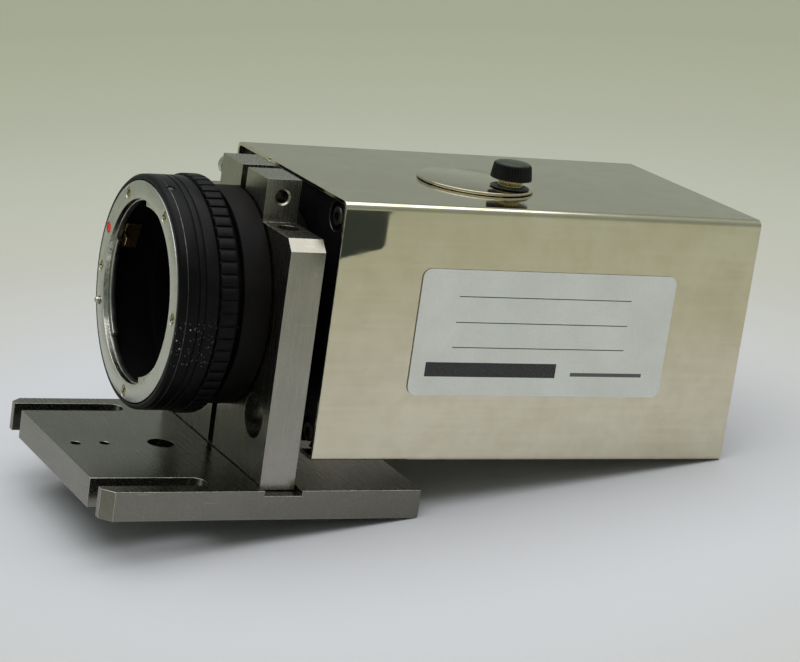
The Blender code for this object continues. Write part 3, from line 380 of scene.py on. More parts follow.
def board_look(name):
    """Solder mask with copper tracks under it; chips stand above it in black epoxy."""
    look = Look(name, 0.0, Coat_Weight=0.4, Coat_Roughness=0.15)
    tracks = look.tree.nodes.new("ShaderNodeTexBrick")
    mapping = look.tree.nodes.new("ShaderNodeMapping")
    look.join(look.point, mapping.inputs["Vector"])
    mapping.inputs["Scale"].default_value = (400, 400, 400)
    look.join(mapping.outputs["Vector"], tracks.inputs["Vector"])
    tone = look.mix(look.ramp(look.noise(5, detail=4), 0.3, 0.7), (0.012, 0.085, 0.035), (0.02, 0.13, 0.055))
    tone = look.mix(look.times(tracks.outputs["Fac"], 0.55), (0.03, 0.19, 0.09), tone)
    lower, upper = (place(board)[0].z + 1.7 for board in ("main_board", "readout_board"))
    height = look.axis("Z")
    chip = look.times(look.calc("GREATER_THAN", height, lower), look.calc("LESS_THAN", height, lower + 6))
    chip = look.plus(chip, look.calc("GREATER_THAN", height, upper))
    tone = look.mix(chip, tone, (0.014, 0.014, 0.015))
    return look.done(tone, look.ramp(chip, 0.0, 1.0, 0.3, 0.55), look.noise(0.4, detail=2), 0.02)


def glass_look(name):
    """Coated window glass, with a trace of dust."""
    look = Look(name, 0.0, Transmission_Weight=1.0, IOR=1.5, Coat_Weight=0.2)
    dust = look.noise(1.6, detail=6)
    tone = look.mix(look.ramp(dust, 0.4, 0.8), (0.93, 0.97, 0.96), (0.86, 0.91, 0.93))
    return look.done(tone, look.ramp(dust, 0.5, 0.85, 0.01, 0.12))


def ceramic_look(name, tone, shade):
    """Fired ceramic with a fine speckle."""
    look = Look(name, 0.0)
    speckle = look.noise(0.6, detail=5, rough=0.7)
    tone = look.mix(look.ramp(speckle, 0.35, 0.7), tone, shade)
    return look.done(tone, look.ramp(speckle, 0.3, 0.7, 0.45, 0.6), speckle, 0.015)


# The base wears the grey metal at 0.62 of its tone: a shaded copy of the upright's metal, painted shade for
# the shadowed floor it reflects.
GREY_BASE = grey_metal("grey_anodised_base", (26, 1, 1), strength=0.62)
GREY_UPRIGHT = grey_metal("grey_anodised_upright", (1, 1, 26))
# Lighter edge looks for the bevels: partly wear, partly painted highlight along the edges.
GREY_EDGE = edge_wear_and_highlight("grey_edge_wear_and_highlight", (0.66, 0.64, 0.57))
COVER = sheet_metal("polished_cover_sheet")
COVER_EDGE = edge_wear_and_highlight("cover_sheared_edge", (0.72, 0.69, 0.6))
BLACK = black_metal("black_anodised_satin")
BLACK_CHIPPED = black_metal("black_anodised_barrel", sheen=0.28, chips=0.635)
BLACK_NOSE = black_metal("black_anodised_nose", sheen=0.45, tint=(0.0042, 0.0036, 0.0035))
# Rubbed black edges, lightened: partly wear, partly painted highlight along the edges.
BLACK_EDGE = edge_wear_and_highlight("black_edge_rub_and_highlight", (0.1, 0.1, 0.1))
BLACK_DEEP = black_metal("black_flock", sheen=0.75, tint=(0.0018, 0.0016, 0.002))
CHROME = lathe_metal("bright_flange_faced")
CHROME_BORE = plain_metal("bright_flange_bore", (0.5, 0.5, 0.46), (0.1, 0.095, 0.08), rough=(0.12, 0.3))
STEEL = plain_metal("screw_steel_plain", (0.56, 0.55, 0.5), (0.24, 0.21, 0.16))
STEEL_BRASSY = plain_metal("screw_steel_brassy", (0.5, 0.43, 0.27), (0.06, 0.045, 0.02), rough=(0.25, 0.5))
STEEL_BLACK = plain_metal("screw_steel_black", (0.09, 0.088, 0.085), (0.03, 0.028, 0.025), rough=(0.35, 0.5))
BRASS = plain_metal("brass_worn", (0.58, 0.47, 0.26), (0.2, 0.15, 0.07))
BRASS_DARK = plain_metal("brass_tarnished", (0.15, 0.095, 0.045), (0.05, 0.032, 0.018), rough=(0.45, 0.6))
ALUMINIUM = plain_metal("plain_aluminium_milled", (0.68, 0.68, 0.66), (0.42, 0.41, 0.38), rough=(0.3, 0.45))
RED = paint("index_red_enamel", (0.95, 0.045, 0.008), (0.8, 0.03, 0.006))
LABEL = label_film("label_white_film")
INK = ink("label_ink", (0.016, 0.016, 0.017), (0.12, 0.12, 0.12))
INK_GREY = ink("label_ink_grey", (0.09, 0.09, 0.09), (0.2, 0.2, 0.19))
# The second tone of each plastic is the painted sheen on its upward faces.
PLASTIC = plastic("black_plastic_moulded", (0.007, 0.007, 0.007), (0.012, 0.012, 0.012))
PLASTIC_KNOB = plastic("black_plastic_knob", (0.0028, 0.0026, 0.0025), (0.05, 0.058, 0.04), sheen=(0.3, 0.42))
PLASTIC_COLLAR = plastic("black_plastic_collar", (0.004, 0.004, 0.004), (0.05, 0.052, 0.045))
BOARD = board_look("board_green_mask")
GLASS = glass_look("window_glass_coated")
CERAMIC = ceramic_look("ceramic_fired", (0.5, 0.46, 0.4), (0.36, 0.32, 0.27))
DIE = ceramic_look("sensor_die", (0.035, 0.045, 0.085), (0.05, 0.075, 0.07))


# --- mesh helpers --------------------------------------------------------------

def shown(name, bm, looks, sharp=38):
    """A smooth-shaded object from a bmesh, with its edges over sharp degrees kept crisp."""
    bmesh.ops.recalc_face_normals(bm, faces=bm.faces)
    mesh = bpy.data.meshes.new(name)
    bm.to_mesh(mesh)
    bm.free()
    mesh.shade_smooth()
    mesh.set_sharp_from_angle(angle=math.radians(sharp))
    for look in looks:
        mesh.materials.append(look)
    obj = bpy.data.objects.new(name, mesh)
    bpy.context.scene.collection.objects.link(obj)
    return obj


def settle(obj, node):
    """obj stands for this CAD node and moves with it."""
    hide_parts(node)
    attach(obj, BODY_OF[node])
    return obj


def extra(obj):
    """obj is detail of the camera head that no CAD node holds."""
    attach(obj, "camera")
    return obj


def rounded(points, radius, steps=3):
    """The closed outline with its corners replaced by small curves; points on the axis stay."""
    result = []
    for i, corner in enumerate(points):
        if corner[0] == 0.0:
            result.append(corner)
            continue
        here = Vector(corner)
        to_last = Vector(points[i - 1]) - here
        to_next = Vector(points[(i + 1) % len(points)]) - here
        reach = min(radius, to_last.length * 0.45, to_next.length * 0.45)
        start = here + to_last.normalized() * reach
        end = here + to_next.normalized() * reach
        for k in range(steps + 1):
            t = k / steps
            result.append(tuple(start * (1 - t) ** 2 + here * 2 * t * (1 - t) + end * t * t))
    return result


AXIS_TURN = {
    "Y": Matrix.Rotation(math.radians(-90), 4, "X"),
    "Z": Matrix.Identity(4),
    "X": Matrix.Rotation(math.radians(90), 4, "Y"),
}


def bridge(bm, loop, following, index=0):
    """Faces between two closed loops of vertices; a loop of one vertex gets a fan."""
    count = max(len(loop), len(following))
    for i in range(count):
        j = (i + 1) % count
        corners = [loop[i % len(loop)], loop[j % len(loop)],
                   following[j % len(following)], following[i % len(following)]]
        bm.faces.new(list(dict.fromkeys(corners))).material_index = index


def turned_ring(bm, r, h, segments, turn=Matrix.Identity(4), scale=1.0):
    """A ring of vertices of radius r at height h, or one vertex on the axis."""
    angles = [math.tau * i / segments for i in range(1 if r == 0.0 else segments)]
    return [bm.verts.new(turn @ (Vector((r * math.cos(a), r * math.sin(a), h)) * scale)) for a in angles]


def lathe(name, profile, centre, looks, axis="Y", segments=144, edge=0.15, paint_with=None):
    """Turned from a closed (radius, height) outline in mm; paint_with(r, h) picks a material."""
    profile = rounded(profile, edge)
    bm = bmesh.new()
    turn = Matrix.Translation(Vector(centre) * MM) @ AXIS_TURN[axis]
    rings = [turned_ring(bm, r, h, segments, turn, MM) for r, h in profile]
    for k, ring in enumerate(rings):
        following = rings[(k + 1) % len(rings)]
        if len(ring) == len(following) == 1:
            continue
        (r0, h0), (r1, h1) = profile[k], profile[(k + 1) % len(profile)]
        bridge(bm, ring, following, paint_with((r0 + r1) / 2, (h0 + h1) / 2) if paint_with else 0)
    return shown(name, bm, looks)


def block(name, low, high, looks=(), edge=0.0):
    """A box between two corners, with its edges rounded by edge mm."""
    bm = bmesh.new()
    bmesh.ops.create_cube(bm, size=1.0)
    low, high = Vector(low), Vector(high)
    bmesh.ops.scale(bm, vec=(high - low) * MM, verts=bm.verts)
    bmesh.ops.translate(bm, vec=(high + low) / 2 * MM, verts=bm.verts)
    if edge:
        bmesh.ops.bevel(bm, geom=bm.edges, offset=edge * MM, segments=3, profile=0.5, affect="EDGES")
    return shown(name, bm, looks)


def rod(name, start, length, radius, axis="Z", segments=48, end_radius=None):
    """A plain cylinder or cone, used to cut."""
    bm = bmesh.new()
    bmesh.ops.create_cone(bm, cap_ends=True, segments=segments, radius1=radius * MM,
                          radius2=(radius if end_radius is None else end_radius) * MM, depth=length * MM)
    bmesh.ops.translate(bm, vec=(0, 0, length / 2 * MM), verts=bm.verts)
    bmesh.ops.transform(bm, matrix=Matrix.Translation(Vector(start) * MM) @ AXIS_TURN[axis], verts=bm.verts)
    return shown(name, bm, ())


def carve(obj, *cutters, sharp=38):
    """Cuts the cutters out of obj for good and removes them."""
    for cutter in cutters:
        modifier = obj.modifiers.new("carve", "BOOLEAN")
        modifier.object = cutter
        modifier.operation = "DIFFERENCE"
        modifier.solver = "EXACT"
    bpy.context.view_layer.update()
    mesh = bpy.data.meshes.new_from_object(obj.evaluated_get(bpy.context.evaluated_depsgraph_get()))
    obj.modifiers.clear()
    obj.data = mesh
    mesh.shade_smooth()
    mesh.set_sharp_from_angle(angle=math.radians(sharp))
    for cutter in cutters:
        bpy.data.objects.remove(cutter, do_unlink=True)
    return obj


def soften(obj, width, look_index=None, angle=35):
    """A small bevel on every edge sharper than angle, which may wear a material of its own."""
    bevel = obj.modifiers.new("edges", "BEVEL")
    bevel.width = width * MM
    bevel.segments = 2
    bevel.limit_method = "ANGLE"
    bevel.angle_limit = math.radians(angle)
    bevel.miter_outer = "MITER_ARC"
    if look_index is not None:
        bevel.material = look_index
    weighted = obj.modifiers.new("flats", "WEIGHTED_NORMAL")
    weighted.weight = 80
    weighted.keep_sharp = True
    return obj


def refined(node, looks, width):
    """A CAD node's own shape with coplanar triangles merged and every edge broken by a bevel in the edge look
    where one is given, partly wear and partly a painted edge highlight.
    """
    bm = bmesh.new()
    bm.from_mesh(frame["nodes"][node].data)
    bmesh.ops.remove_doubles(bm, verts=bm.verts, dist=1e-6)
    bmesh.ops.dissolve_limit(bm, angle_limit=math.radians(0.6), use_dissolve_boundaries=False,
                             verts=bm.verts, edges=bm.edges)
    for face in bm.faces:
        face.material_index = 0
    obj = shown(node + "_fine", bm, looks)
    soften(obj, width, 1 if len(looks) > 1 else None)
    return settle(obj, node)


def polar(radius, angle):
    """The x, z of a point at radius and angle about the lens axis."""
    a = math.radians(angle)
    return radius * math.cos(a), AXIS_Z + radius * math.sin(a)


def column(bm, outline, angle):
    """The vertices of a (radius, y) outline at an angle about the lens axis."""
    a = math.radians(angle)
    return [bm.verts.new(Vector((r * math.cos(a), y, AXIS_Z + r * math.sin(a))) * MM) for r, y in outline]


def angle_of(node):
    """The angle of a CAD node about the lens axis, in degrees."""
    centre = middle(node)
    return math.degrees(math.atan2(centre.z - AXIS_Z, centre.x)) % 360


# --- stand ---------------------------------------------------------------------

def make_stand():
    refined("base_plate", [GREY_BASE, GREY_EDGE], 0.32)
    refined("clamp_upright", [GREY_UPRIGHT, GREY_EDGE], 0.32)
    hex_screw("upright_screw_near", "Z", (3.5, 3.8), 2.0, STEEL_BLACK)
    hex_screw("upright_screw_far", "Z", (3.5, 3.8), 2.0, STEEL_BLACK)
    hex_screw("clamp_screw", "X", (2.75, 3.0), 1.5, STEEL)


def hex_screw(node, axis, head, shank_r, look):
    """A socket cap screw in place of a CAD screw whose head is at the low end; head is (radius, length)."""
    low, high = place(node)
    letter = "XYZ".index(axis)
    face, tip = low[letter], high[letter]
    centre = (low + high) / 2
    centre[letter] = 0.0
    head_r, head_l = head
    rim = 0.13 * head_r
    profile = [(0.0, face), (head_r - rim, face), (head_r, face + rim), (head_r, face + head_l),
               (shank_r, face + head_l), (shank_r, tip), (0.0, tip)]
    screw = lathe(node + "_fine", profile, centre, [look], axis=axis, segments=64, edge=0.1)
    depth = head_l * 0.55
    start = centre.copy()
    start[letter] = face - 0.5
    carve(screw, rod("socket", start, depth + 0.5, head_r * 0.52, axis=axis, segments=6))
    return settle(screw, node)


# --- lens mount ----------------------------------------------------------------

def make_nose():
    front, rear = NOSE_LOW.y, NOSE_HIGH.y
    seat, bore, tail, lip, lip_depth = UPRIGHT_FRONT - 0.3, 20.0, 26.9, 15.0, 3.5
    profile = [(bore, front), (NOSE_R, front), (NOSE_R, seat), (tail, seat), (tail, rear), (lip, rear),
               (lip, rear - lip_depth), (bore, rear - lip_depth)]
    settle(lathe("adapter_ring_fine", profile, (0, 0, AXIS_Z), [BLACK_NOSE, BLACK_EDGE], edge=0.4),
           "adapter_ring")


def make_barrel():
    front, rear = BARREL_LOW.y, BARREL_HIGH.y
    recess = front + 2.3
    seat_front, seat_rear = GRIP_LOW.y - 0.4, GRIP_HIGH.y + 0.4

    bore, seat, tail, lip, lip_front, inside = 27.0, 30.2, 28.4, 22.0, -14.0, 30.0
    recess_r, nose_r, line = 30.4, BARREL_R - 0.1, front + 2.2

    def groove(y, width=0.42, depth=0.34):
        floor = BARREL_R - depth
        return [(BARREL_R, y - width / 2), (floor, y - width / 4), (floor, y + width / 4),
                (BARREL_R, y + width / 2)]

    profile = [(bore, recess), (recess_r, recess), (recess_r, front), (BARREL_R - 0.75, front),
               (nose_r, front + 0.75), (nose_r, line - 0.1), (BARREL_R, line + 0.05)]
    profile += groove(front + 5.5) + groove(front + 7.4)
    profile += [(BARREL_R, seat_front), (seat, seat_front), (seat, seat_rear), (tail, seat_rear),
                (tail, rear), (lip, rear), (lip, lip_front), (bore, lip_front)]

    def paint_with(r, h):
        if r < inside and h < rear - 0.2:
            return 2
        return 1 if r > BARREL_R - 0.05 and abs(h - line) < 0.12 else 0

    barrel = lathe("mount_barrel_fine", profile, (0, 0, AXIS_Z), [BLACK_CHIPPED, BLACK_EDGE, BLACK_DEEP],
                   segments=256, edge=0.14, paint_with=paint_with)
    centre = middle("barrel_set_screw")
    turn = math.radians(-90 - angle_of("barrel_set_screw"))
    hole = rod("set_hole", (0, 0, -2.0), 4.0, 1.15, segments=24)
    hole.matrix_world = Matrix.Translation(centre * MM) @ Matrix.Rotation(turn, 4, "Y")
    window = block("window", (-3.4, -2.6, -2.4), (3.4, 2.6, 2.4))
    slider = angle_of("release_slider")
    x, z = polar(31.5, slider)
    window.matrix_world = Matrix.Translation(Vector((x, recess + 0.4, z)) * MM) \
        @ Matrix.Rotation(math.radians(-slider), 4, "Y")
    pin = middle("lock_pin")
    pin_well = rod("pin_well", (pin.x, recess - 1.0, pin.z), LOCK_TRAVEL + 2.0, PIN_HOLE_R, "Y", segments=32)
    carve(barrel, hole, window, pin_well)
    settle(barrel, "mount_barrel")


def make_grip_ring():
    """A band of long flat ribs with rounded ends."""
    ribs = 60
    front, rear = GRIP_LOW.y, GRIP_HIGH.y
    crest, valley, inner = GRIP_R - 0.05, GRIP_R - 0.55, 30.5
    shape = ((0.0, 0.0), (0.03, 0.82), (0.07, 1.0), (0.42, 1.0), (0.77, 1.0), (0.81, 0.82), (0.84, 0.0),
             (0.94, 0.0))
    widths = [(0.0, 0.0), (0.25, 0.75), (0.6, 0.96), (1.1, 1.0)]
    rows = [(front + d, s) for d, s in widths] + [(rear - d, s) for d, s in reversed(widths)]
    bm = bmesh.new()
    columns = []
    for rib in range(ribs):
        for share, height in shape:
            outline = [(valley + (crest - valley) * height * s - 0.12 * (1 - s), y) for y, s in rows]
            outline = [(inner, front)] + outline + [(inner, rear)]
            columns.append(column(bm, outline, 360 * (rib + share) / ribs))
    for here, following in zip(columns, columns[1:] + columns[:1]):
        bridge(bm, here, following)
    settle(shown("grip_ring_fine", bm, [BLACK]), "grip_ring")


def make_flange():
    """The faced bayonet ring: a deep throat wall, a thin ledge behind it and three tabs."""
    front = FLANGE_LOW.y
    ledge, rear, back = front + 1.45, front + 3.0, front + 2.2
    pitch = 1.5

    def section(angle):
        inner = TAB_R if any(start <= angle <= end for start, end in TABS) else LEDGE_R
        outline = [(26.6, rear), (26.6, back), (FLANGE_R, back), (FLANGE_R, front), (THROAT_R, front),
                   (THROAT_R - 0.05, ledge), (inner, ledge), (inner, rear)]
        return rounded(outline, 0.16, steps=2)

    edges = [end for tab in TABS for end in tab]
    angles = [step * pitch for step in range(round(360 / pitch))]
    angles = sorted([a for a in angles if all(abs(a - e) > 0.6 for e in edges)]
                    + [e + d for e in edges for d in (-0.25, 0.25)])
    bm = bmesh.new()
    columns = [column(bm, section(angle), angle) for angle in angles]
    for here, following in zip(columns, columns[1:] + columns[:1]):
        bridge(bm, here, following)
    for face in bm.faces:
        centre = face.calc_center_median() / MM
        reach = math.hypot(centre.x, centre.z - AXIS_Z)
        face.material_index = 1 if reach < THROAT_R - 0.01 and centre.y < ledge + 0.1 else 0
    flange = shown("bayonet_flange_fine", bm, [CHROME, CHROME_BORE], sharp=30)
    cutters = []
    for number in range(1, 6):
        centre = middle(f"flange_screw_{number}")
        start = (centre.x, front - 0.4, centre.z)
        cutters.append(rod(f"sink_{number}", start, 1.3, 2.2, "Y", end_radius=1.0))
        cutters.append(rod(f"bore_{number}", start, 4.0, 1.0, "Y"))
    dot = middle("index_dot")
    cutters.append(rod("dot_well", (dot.x, front - 0.5, dot.z), 0.9, 1.6, "Y"))
    pin = middle("lock_pin")
    cutters.append(rod("pin_bore", (pin.x, front - 0.5, pin.z), 4.0, PIN_HOLE_R, "Y"))
    carve(flange, *cutters, sharp=30)
    settle(flange, "bayonet_flange")


def make_flange_screws():
    """Countersunk screws with a rubbed cross slot, each turned to its own angle."""
    for number in range(1, 6):
        node = f"flange_screw_{number}"
        low, high = place(node)
        centre = (low + high) / 2
        face = low.y + 0.02
        profile = [(0.0, face - 0.05), (1.2, face - 0.02), (1.68, face + 0.1), (0.85, face + 0.9),
                   (0.8, high.y), (0.0, high.y)]
        screw = lathe(node + "_fine", profile, (centre.x, 0, centre.z), [STEEL_BRASSY], segments=48,
                      edge=0.08)
        turn = Matrix.Translation(Vector((centre.x, face, centre.z)) * MM) \
            @ Matrix.Rotation(math.radians(17 + 41 * number), 4, "Y")
        arm, half = 1.25, 0.24
        slots = [block("slot_a", (-arm, -0.5, -half), (arm, 0.55, half)),
                 block("slot_b", (-half, -0.5, -arm), (half, 0.55, arm))]
        for slot in slots:
            slot.matrix_world = turn
        pit = rod("pit", (centre.x, face - 0.2, centre.z), 0.9, 0.75, "Y", end_radius=0.1)
        carve(screw, *slots, pit)
        settle(screw, node)
    low, high = place("index_dot")
    dot = middle("index_dot")
    profile = [(0.0, low.y - 0.03), (0.8, low.y - 0.01), (1.3, low.y + 0.04), (1.5, high.y), (0.0, high.y)]
    settle(lathe("index_dot_fine", profile, (dot.x, 0, dot.z), [RED], segments=48, edge=0.05), "index_dot")


def make_lens_lock():
    low, high = place("lock_pin")
    centre = middle("lock_pin")
    profile = [(0.0, low.y), (0.6, low.y), (0.95, low.y + 0.4), (0.95, high.y), (0.0, high.y)]
    settle(lathe("lock_pin_fine", profile, (centre.x, 0, centre.z), [STEEL], segments=40, edge=0.2),
           "lock_pin")
    refined("release_slider", [BLACK, BLACK_EDGE], 0.05)
    refined("barrel_set_screw", [STEEL_BLACK], 0.08)
    refined("aperture_lever", [BRASS_DARK, BRASS], 0.1)


# --- camera head ---------------------------------------------------------------

def make_front_plate():
    refined("front_plate", [BLACK, BLACK_EDGE], 0.25)
    for number in range(1, 5):
        hex_screw(f"tie_bolt_{number}", "Y", (2.75, 2.8), 1.5, STEEL_BLACK)


def strip(points, side):
    """The outline of a sheet that follows points, thick by side mm to the right, or to the left below 0."""
    inner = []
    for i, point in enumerate(points):
        before, after = points[max(i - 1, 0)], points[min(i + 1, len(points) - 1)]
        run = (Vector(after) - Vector(before)).normalized()
        normal = Vector((run.y, -run.x))
        inner.append(tuple(Vector(point) + normal * side))
    return points + inner[::-1]


def arc(cx, cy, radius, start, end, steps):
    turn = [math.radians(start + (end - start) * i / steps) for i in range(steps + 1)]
    return [(cx + radius * math.cos(a), cy + radius * math.sin(a)) for a in turn]


def extruded(name, outline, order, low, high, looks):
    """A solid with capped ends from low to high; order turns an outline's u, v and w into x, y, z."""
    bm = bmesh.new()
    start, end = ([bm.verts.new(Vector(order(u, v, w)) * MM) for u, v in outline] for w in (low, high))
    bridge(bm, start, end)
    bm.faces.new(start)
    bm.faces.new(end)
    return shown(name, bm, looks, sharp=25)


def make_cover():
    half, low, top = COVER_HIGH.x, COVER_LOW.z, COVER_HIGH.z
    right = [(half - COVER_LIP, low)] + arc(half - LOW_BEND, low + LOW_BEND, LOW_BEND, -90, 0, 8)
    right += arc(half - TOP_BEND, top - TOP_BEND, TOP_BEND, 0, 90, 12)
    outer = right + [(-x, z) for x, z in reversed(right)]
    cover = extruded("housing_cover_fine", strip(outer, -SHEET), lambda u, v, w: (u, w, v),
                     COVER_LOW.y, COVER_HIGH.y, [COVER, COVER_EDGE])
    cutters = [rod("access", (*ACCESS_HOLE, top - 3), 6.0, ACCESS_HOLE_R, segments=72),
               rod("knob", (KNOB.x, KNOB.y, top - 3), 6.0, SHANK_HOLE_R)]
    for number in range(1, 5):
        centre = middle(f"cover_screw_{number}")
        cutters.append(rod(f"screw_{number}", (centre.x, centre.y, low - 0.3), 1.3, 2.9, end_radius=1.7))
    nick = block("nick", (-0.55, -1.2, -1.2), (0.5, 0.55, 1.2))
    nick.matrix_world = Matrix.Translation(Vector((NICK_X, COVER_LOW.y, top + 0.2)) * MM) \
        @ Matrix.Rotation(math.radians(NICK_TURN), 4, "Y")
    cutters.append(nick)
    carve(cover, *cutters, sharp=25)
    soften(cover, 0.14, 1, angle=50)
    settle(cover, "housing_cover")


def make_label():
    """A film label with ruled lines and two plain bars."""
    (x, y0, z0), (face, y1, z1) = LABEL_LOW, LABEL_HIGH
    r = 2.5
    outline = arc(y1 - r, z1 - r, r, 0, 90, 8) + arc(y0 + r, z1 - r, r, 90, 180, 8)
    outline += arc(y0 + r, z0 + r, r, 180, 270, 8) + arc(y1 - r, z0 + r, r, 270, 360, 8)
    label = extruded("label_plate_fine", outline, lambda u, v, w: (w, u, v), x, face, [LABEL, INK, INK_GREY])
    width, height = y1 - y0, z1 - z0
    marks = []
    for share in (0.79, 0.585, 0.385):
        z = z0 + share * height
        marks.append((y0 + 0.147 * width, y0 + 0.826 * width, z - 0.13, z + 0.13, 1))
    marks.append((y0 + 0.055 * width, y0 + 0.565 * width, z0 + 0.15 * height, z0 + 0.265 * height, 1))
    marks.append((y0 + 0.625 * width, y0 + 0.915 * width, z0 + 0.165 * height, z0 + 0.195 * height, 2))
    bm = bmesh.new()
    bm.from_mesh(label.data)
    across = {end for mark in marks for end in mark[:2]}
    along = {end for mark in marks for end in mark[2:4]}
    for coordinate, cuts in ((1, across), (2, along)):
        normal = [0.0, 0.0, 0.0]
        normal[coordinate] = 1.0
        for cut in sorted(cuts):
            faces = [f for f in bm.faces if f.normal.x > 0.9]
            geometry = faces + list({e for f in faces for e in f.edges})
            geometry += list({v for f in faces for v in f.verts})
            point = [0.0, 0.0, 0.0]
            point[coordinate] = cut * MM
            bmesh.ops.bisect_plane(bm, geom=geometry, plane_co=point, plane_no=normal, dist=1e-7)
    for f in bm.faces:
        if f.normal.x > 0.9:
            centre = f.calc_center_median() / MM
            for a, b, c, d, look in marks:
                if a < centre.y < b and c < centre.z < d:
                    f.material_index = look
    bm.to_mesh(label.data)
    bm.free()
    settle(label, "label_plate")


def make_cover_screws():
    """Flush countersunk screws with a cross recess, driven up through the cover's bottom flanges."""
    for number in range(1, 5):
        node = f"cover_screw_{number}"
        low, high = place(node)
        centre = (low + high) / 2
        head_r, shank_r, sink = (high.x - low.x) / 2, 1.4, low.z + SHEET
        profile = [(0.0, low.z), (head_r, low.z), (shank_r, sink), (shank_r, high.z), (0.0, high.z)]
        screw = lathe(node + "_fine", profile, (centre.x, centre.y, 0), [STEEL], axis="Z", segments=48,
                      edge=0.08)
        slots = [block(f"slot_{x}_{y}", (centre.x - x, centre.y - y, low.z - 1),
                       (centre.x + x, centre.y + y, low.z + 0.8)) for x, y in ((1.3, 0.24), (0.24, 1.3))]
        settle(carve(screw, *slots), node)


def make_disc():
    low, high = place("access_disc")
    x, y = (low.x + high.x) / 2, (low.y + high.y) / 2
    radius = (high.x - low.x) / 2
    profile = [(0.0, low.z), (radius, low.z), (radius, high.z), (0.0, high.z)]
    disc = lathe("access_disc_fine", profile, (x, y, 0), [COVER], axis="Z", segments=128, edge=0.2)
    settle(carve(disc, rod("shank_hole", (KNOB.x, KNOB.y, low.z - 1), 4.0, SHANK_HOLE_R)), "access_disc")


def make_thumb_screw():
    x, y = KNOB.x, KNOB.y
    low, high = place("thumb_collar")
    radius = (high.x - low.x) / 2
    dish = high.z - 0.25
    profile = [(SHANK_HOLE_R, low.z), (radius - 0.3, low.z), (radius, low.z + 0.3), (radius, high.z - 0.35),
               (radius - 0.4, high.z), (4.4, high.z), (4.1, dish), (SHANK_HOLE_R, dish)]
    settle(lathe("thumb_collar_fine", profile, (x, y, 0), [PLASTIC_COLLAR], axis="Z"), "thumb_collar")
    low, high = place("thumb_shank")
    crest, root, pitch = 1.9, 1.62, 0.5
    thread_start, thread_length = low.z + 0.3, 4.9
    neck, neck_r, waist_r = high.z - 2.2, 3.5, 3.05
    profile = [(0.0, low.z), (1.6, low.z), (crest, thread_start)]
    for turn in range(int(thread_length / pitch)):
        z = thread_start + turn * pitch
        profile += [(crest, z + 0.1), (root, z + 0.25), (root, z + 0.3), (crest, z + 0.45)]
    profile += [(crest, neck), (neck_r - 0.2, neck), (neck_r, neck + 0.2), (neck_r, neck + 0.8),
                (waist_r, neck + 1.0), (waist_r, neck + 1.15), (neck_r, neck + 1.35), (neck_r, high.z),
                (0.0, high.z)]
    settle(lathe("thumb_shank_fine", profile, (x, y, 0), [BRASS], axis="Z", edge=0.06), "thumb_shank")
    make_knob()


def make_knob():
    """A domed plastic knob with a ring of fine flutes."""
    flutes, per_flute = 46, 8
    radius, height = (KNOB_HIGH.x - KNOB_LOW.x) / 2 - 0.02, KNOB_HIGH.z - KNOB_LOW.z
    levels = ((0.0, radius - 2.2, 0.0), (0.0, radius - 0.35, 0.0), (0.1, radius - 0.12, 0.3),
              (0.32, radius, 1.0), (height * 0.4, radius - 0.22, 1.0), (height - 1.35, radius - 0.5, 1.0),
              (height - 1.05, radius - 0.62, 0.75), (height - 0.8, radius - 0.85, 0.25),
              (height - 0.65, radius - 1.1, 0.0), (height - 0.42, radius - 1.7, 0.0),
              (height - 0.2, radius - 2.9, 0.0), (height - 0.06, radius - 4.2, 0.0))
    count = flutes * per_flute
    bm = bmesh.new()

    def spot(reach, turn, up):
        x, y = KNOB.x + reach * math.cos(turn), KNOB.y + reach * math.sin(turn)
        return bm.verts.new(Vector((x, y, KNOB_LOW.z + up)) * MM)

    rings = []
    for up, r, depth in levels:
        ring = []
        for i in range(count):
            turn = math.tau * i / count
            wave = (1 - math.cos(turn * flutes)) / 2
            ring.append(spot(r - 0.3 * depth * wave ** 1.6, turn, up))
        rings.append(ring)
    for ring, upper in zip(rings, rings[1:]):
        bridge(bm, ring, upper)
    for ring, up in ((rings[0], 0.0), (rings[-1], height)):
        bridge(bm, ring, [spot(0.0, 0.0, up)])
    settle(shown("thumb_knob_fine", bm, [PLASTIC_KNOB], sharp=50), "thumb_knob")


def make_rear():
    for number in range(1, 5):
        refined(f"rear_nut_{number}", [STEEL], 0.12)
    refined("data_connector", [STEEL, GREY_EDGE], 0.12)
    refined("power_connector", [STEEL, GREY_EDGE], 0.1)
    make_data_connector()
    make_power_connector()


def contact(name, x, z, root, tip, radius, nose_r, nose_length):
    """A brass contact pin with a tapered nose."""
    profile = [(0.0, root), (radius, root), (radius, tip - nose_length), (nose_r, tip), (0.0, tip)]
    extra(lathe(name, profile, (x, 0, z), [BRASS], segments=16, edge=0.05))


def make_data_connector():
    """Two rows of pins in the shell, and a jack screw at each side."""
    outer = place("chassis")[1].y
    floor = outer + 0.5
    centre = middle("data_connector")
    x, z = centre.x, centre.z
    half, depth, pitch, row_up = 10.9, 2.9, 2.74, 1.4
    insert = block("data_insert", (x - half, floor + 0.05, z - depth), (x + half, floor + 1.2, z + depth),
                   [PLASTIC])
    extra(insert)
    for row, (count, up) in enumerate(((8, row_up), (7, -row_up))):
        for k in range(count):
            place_x = x + (k - (count - 1) / 2) * pitch
            contact(f"data_pin_{row}_{k}", place_x, z + up, floor + 1.0, floor + 5.0, 0.45, 0.2, 0.4)
    for side, reach in (("left", -14.6), ("right", 14.6)):
        profile = [(0.0, outer + 2.0), (1.2, outer + 2.0), (1.2, outer + 5.0), (2.6, outer + 5.0),
                   (2.6, outer + 0.1), (0.0, outer + 0.1)]
        jack = lathe(f"data_jack_{side}", profile, (x + reach, 0, z), [STEEL], segments=6, edge=0.12)
        extra(jack)


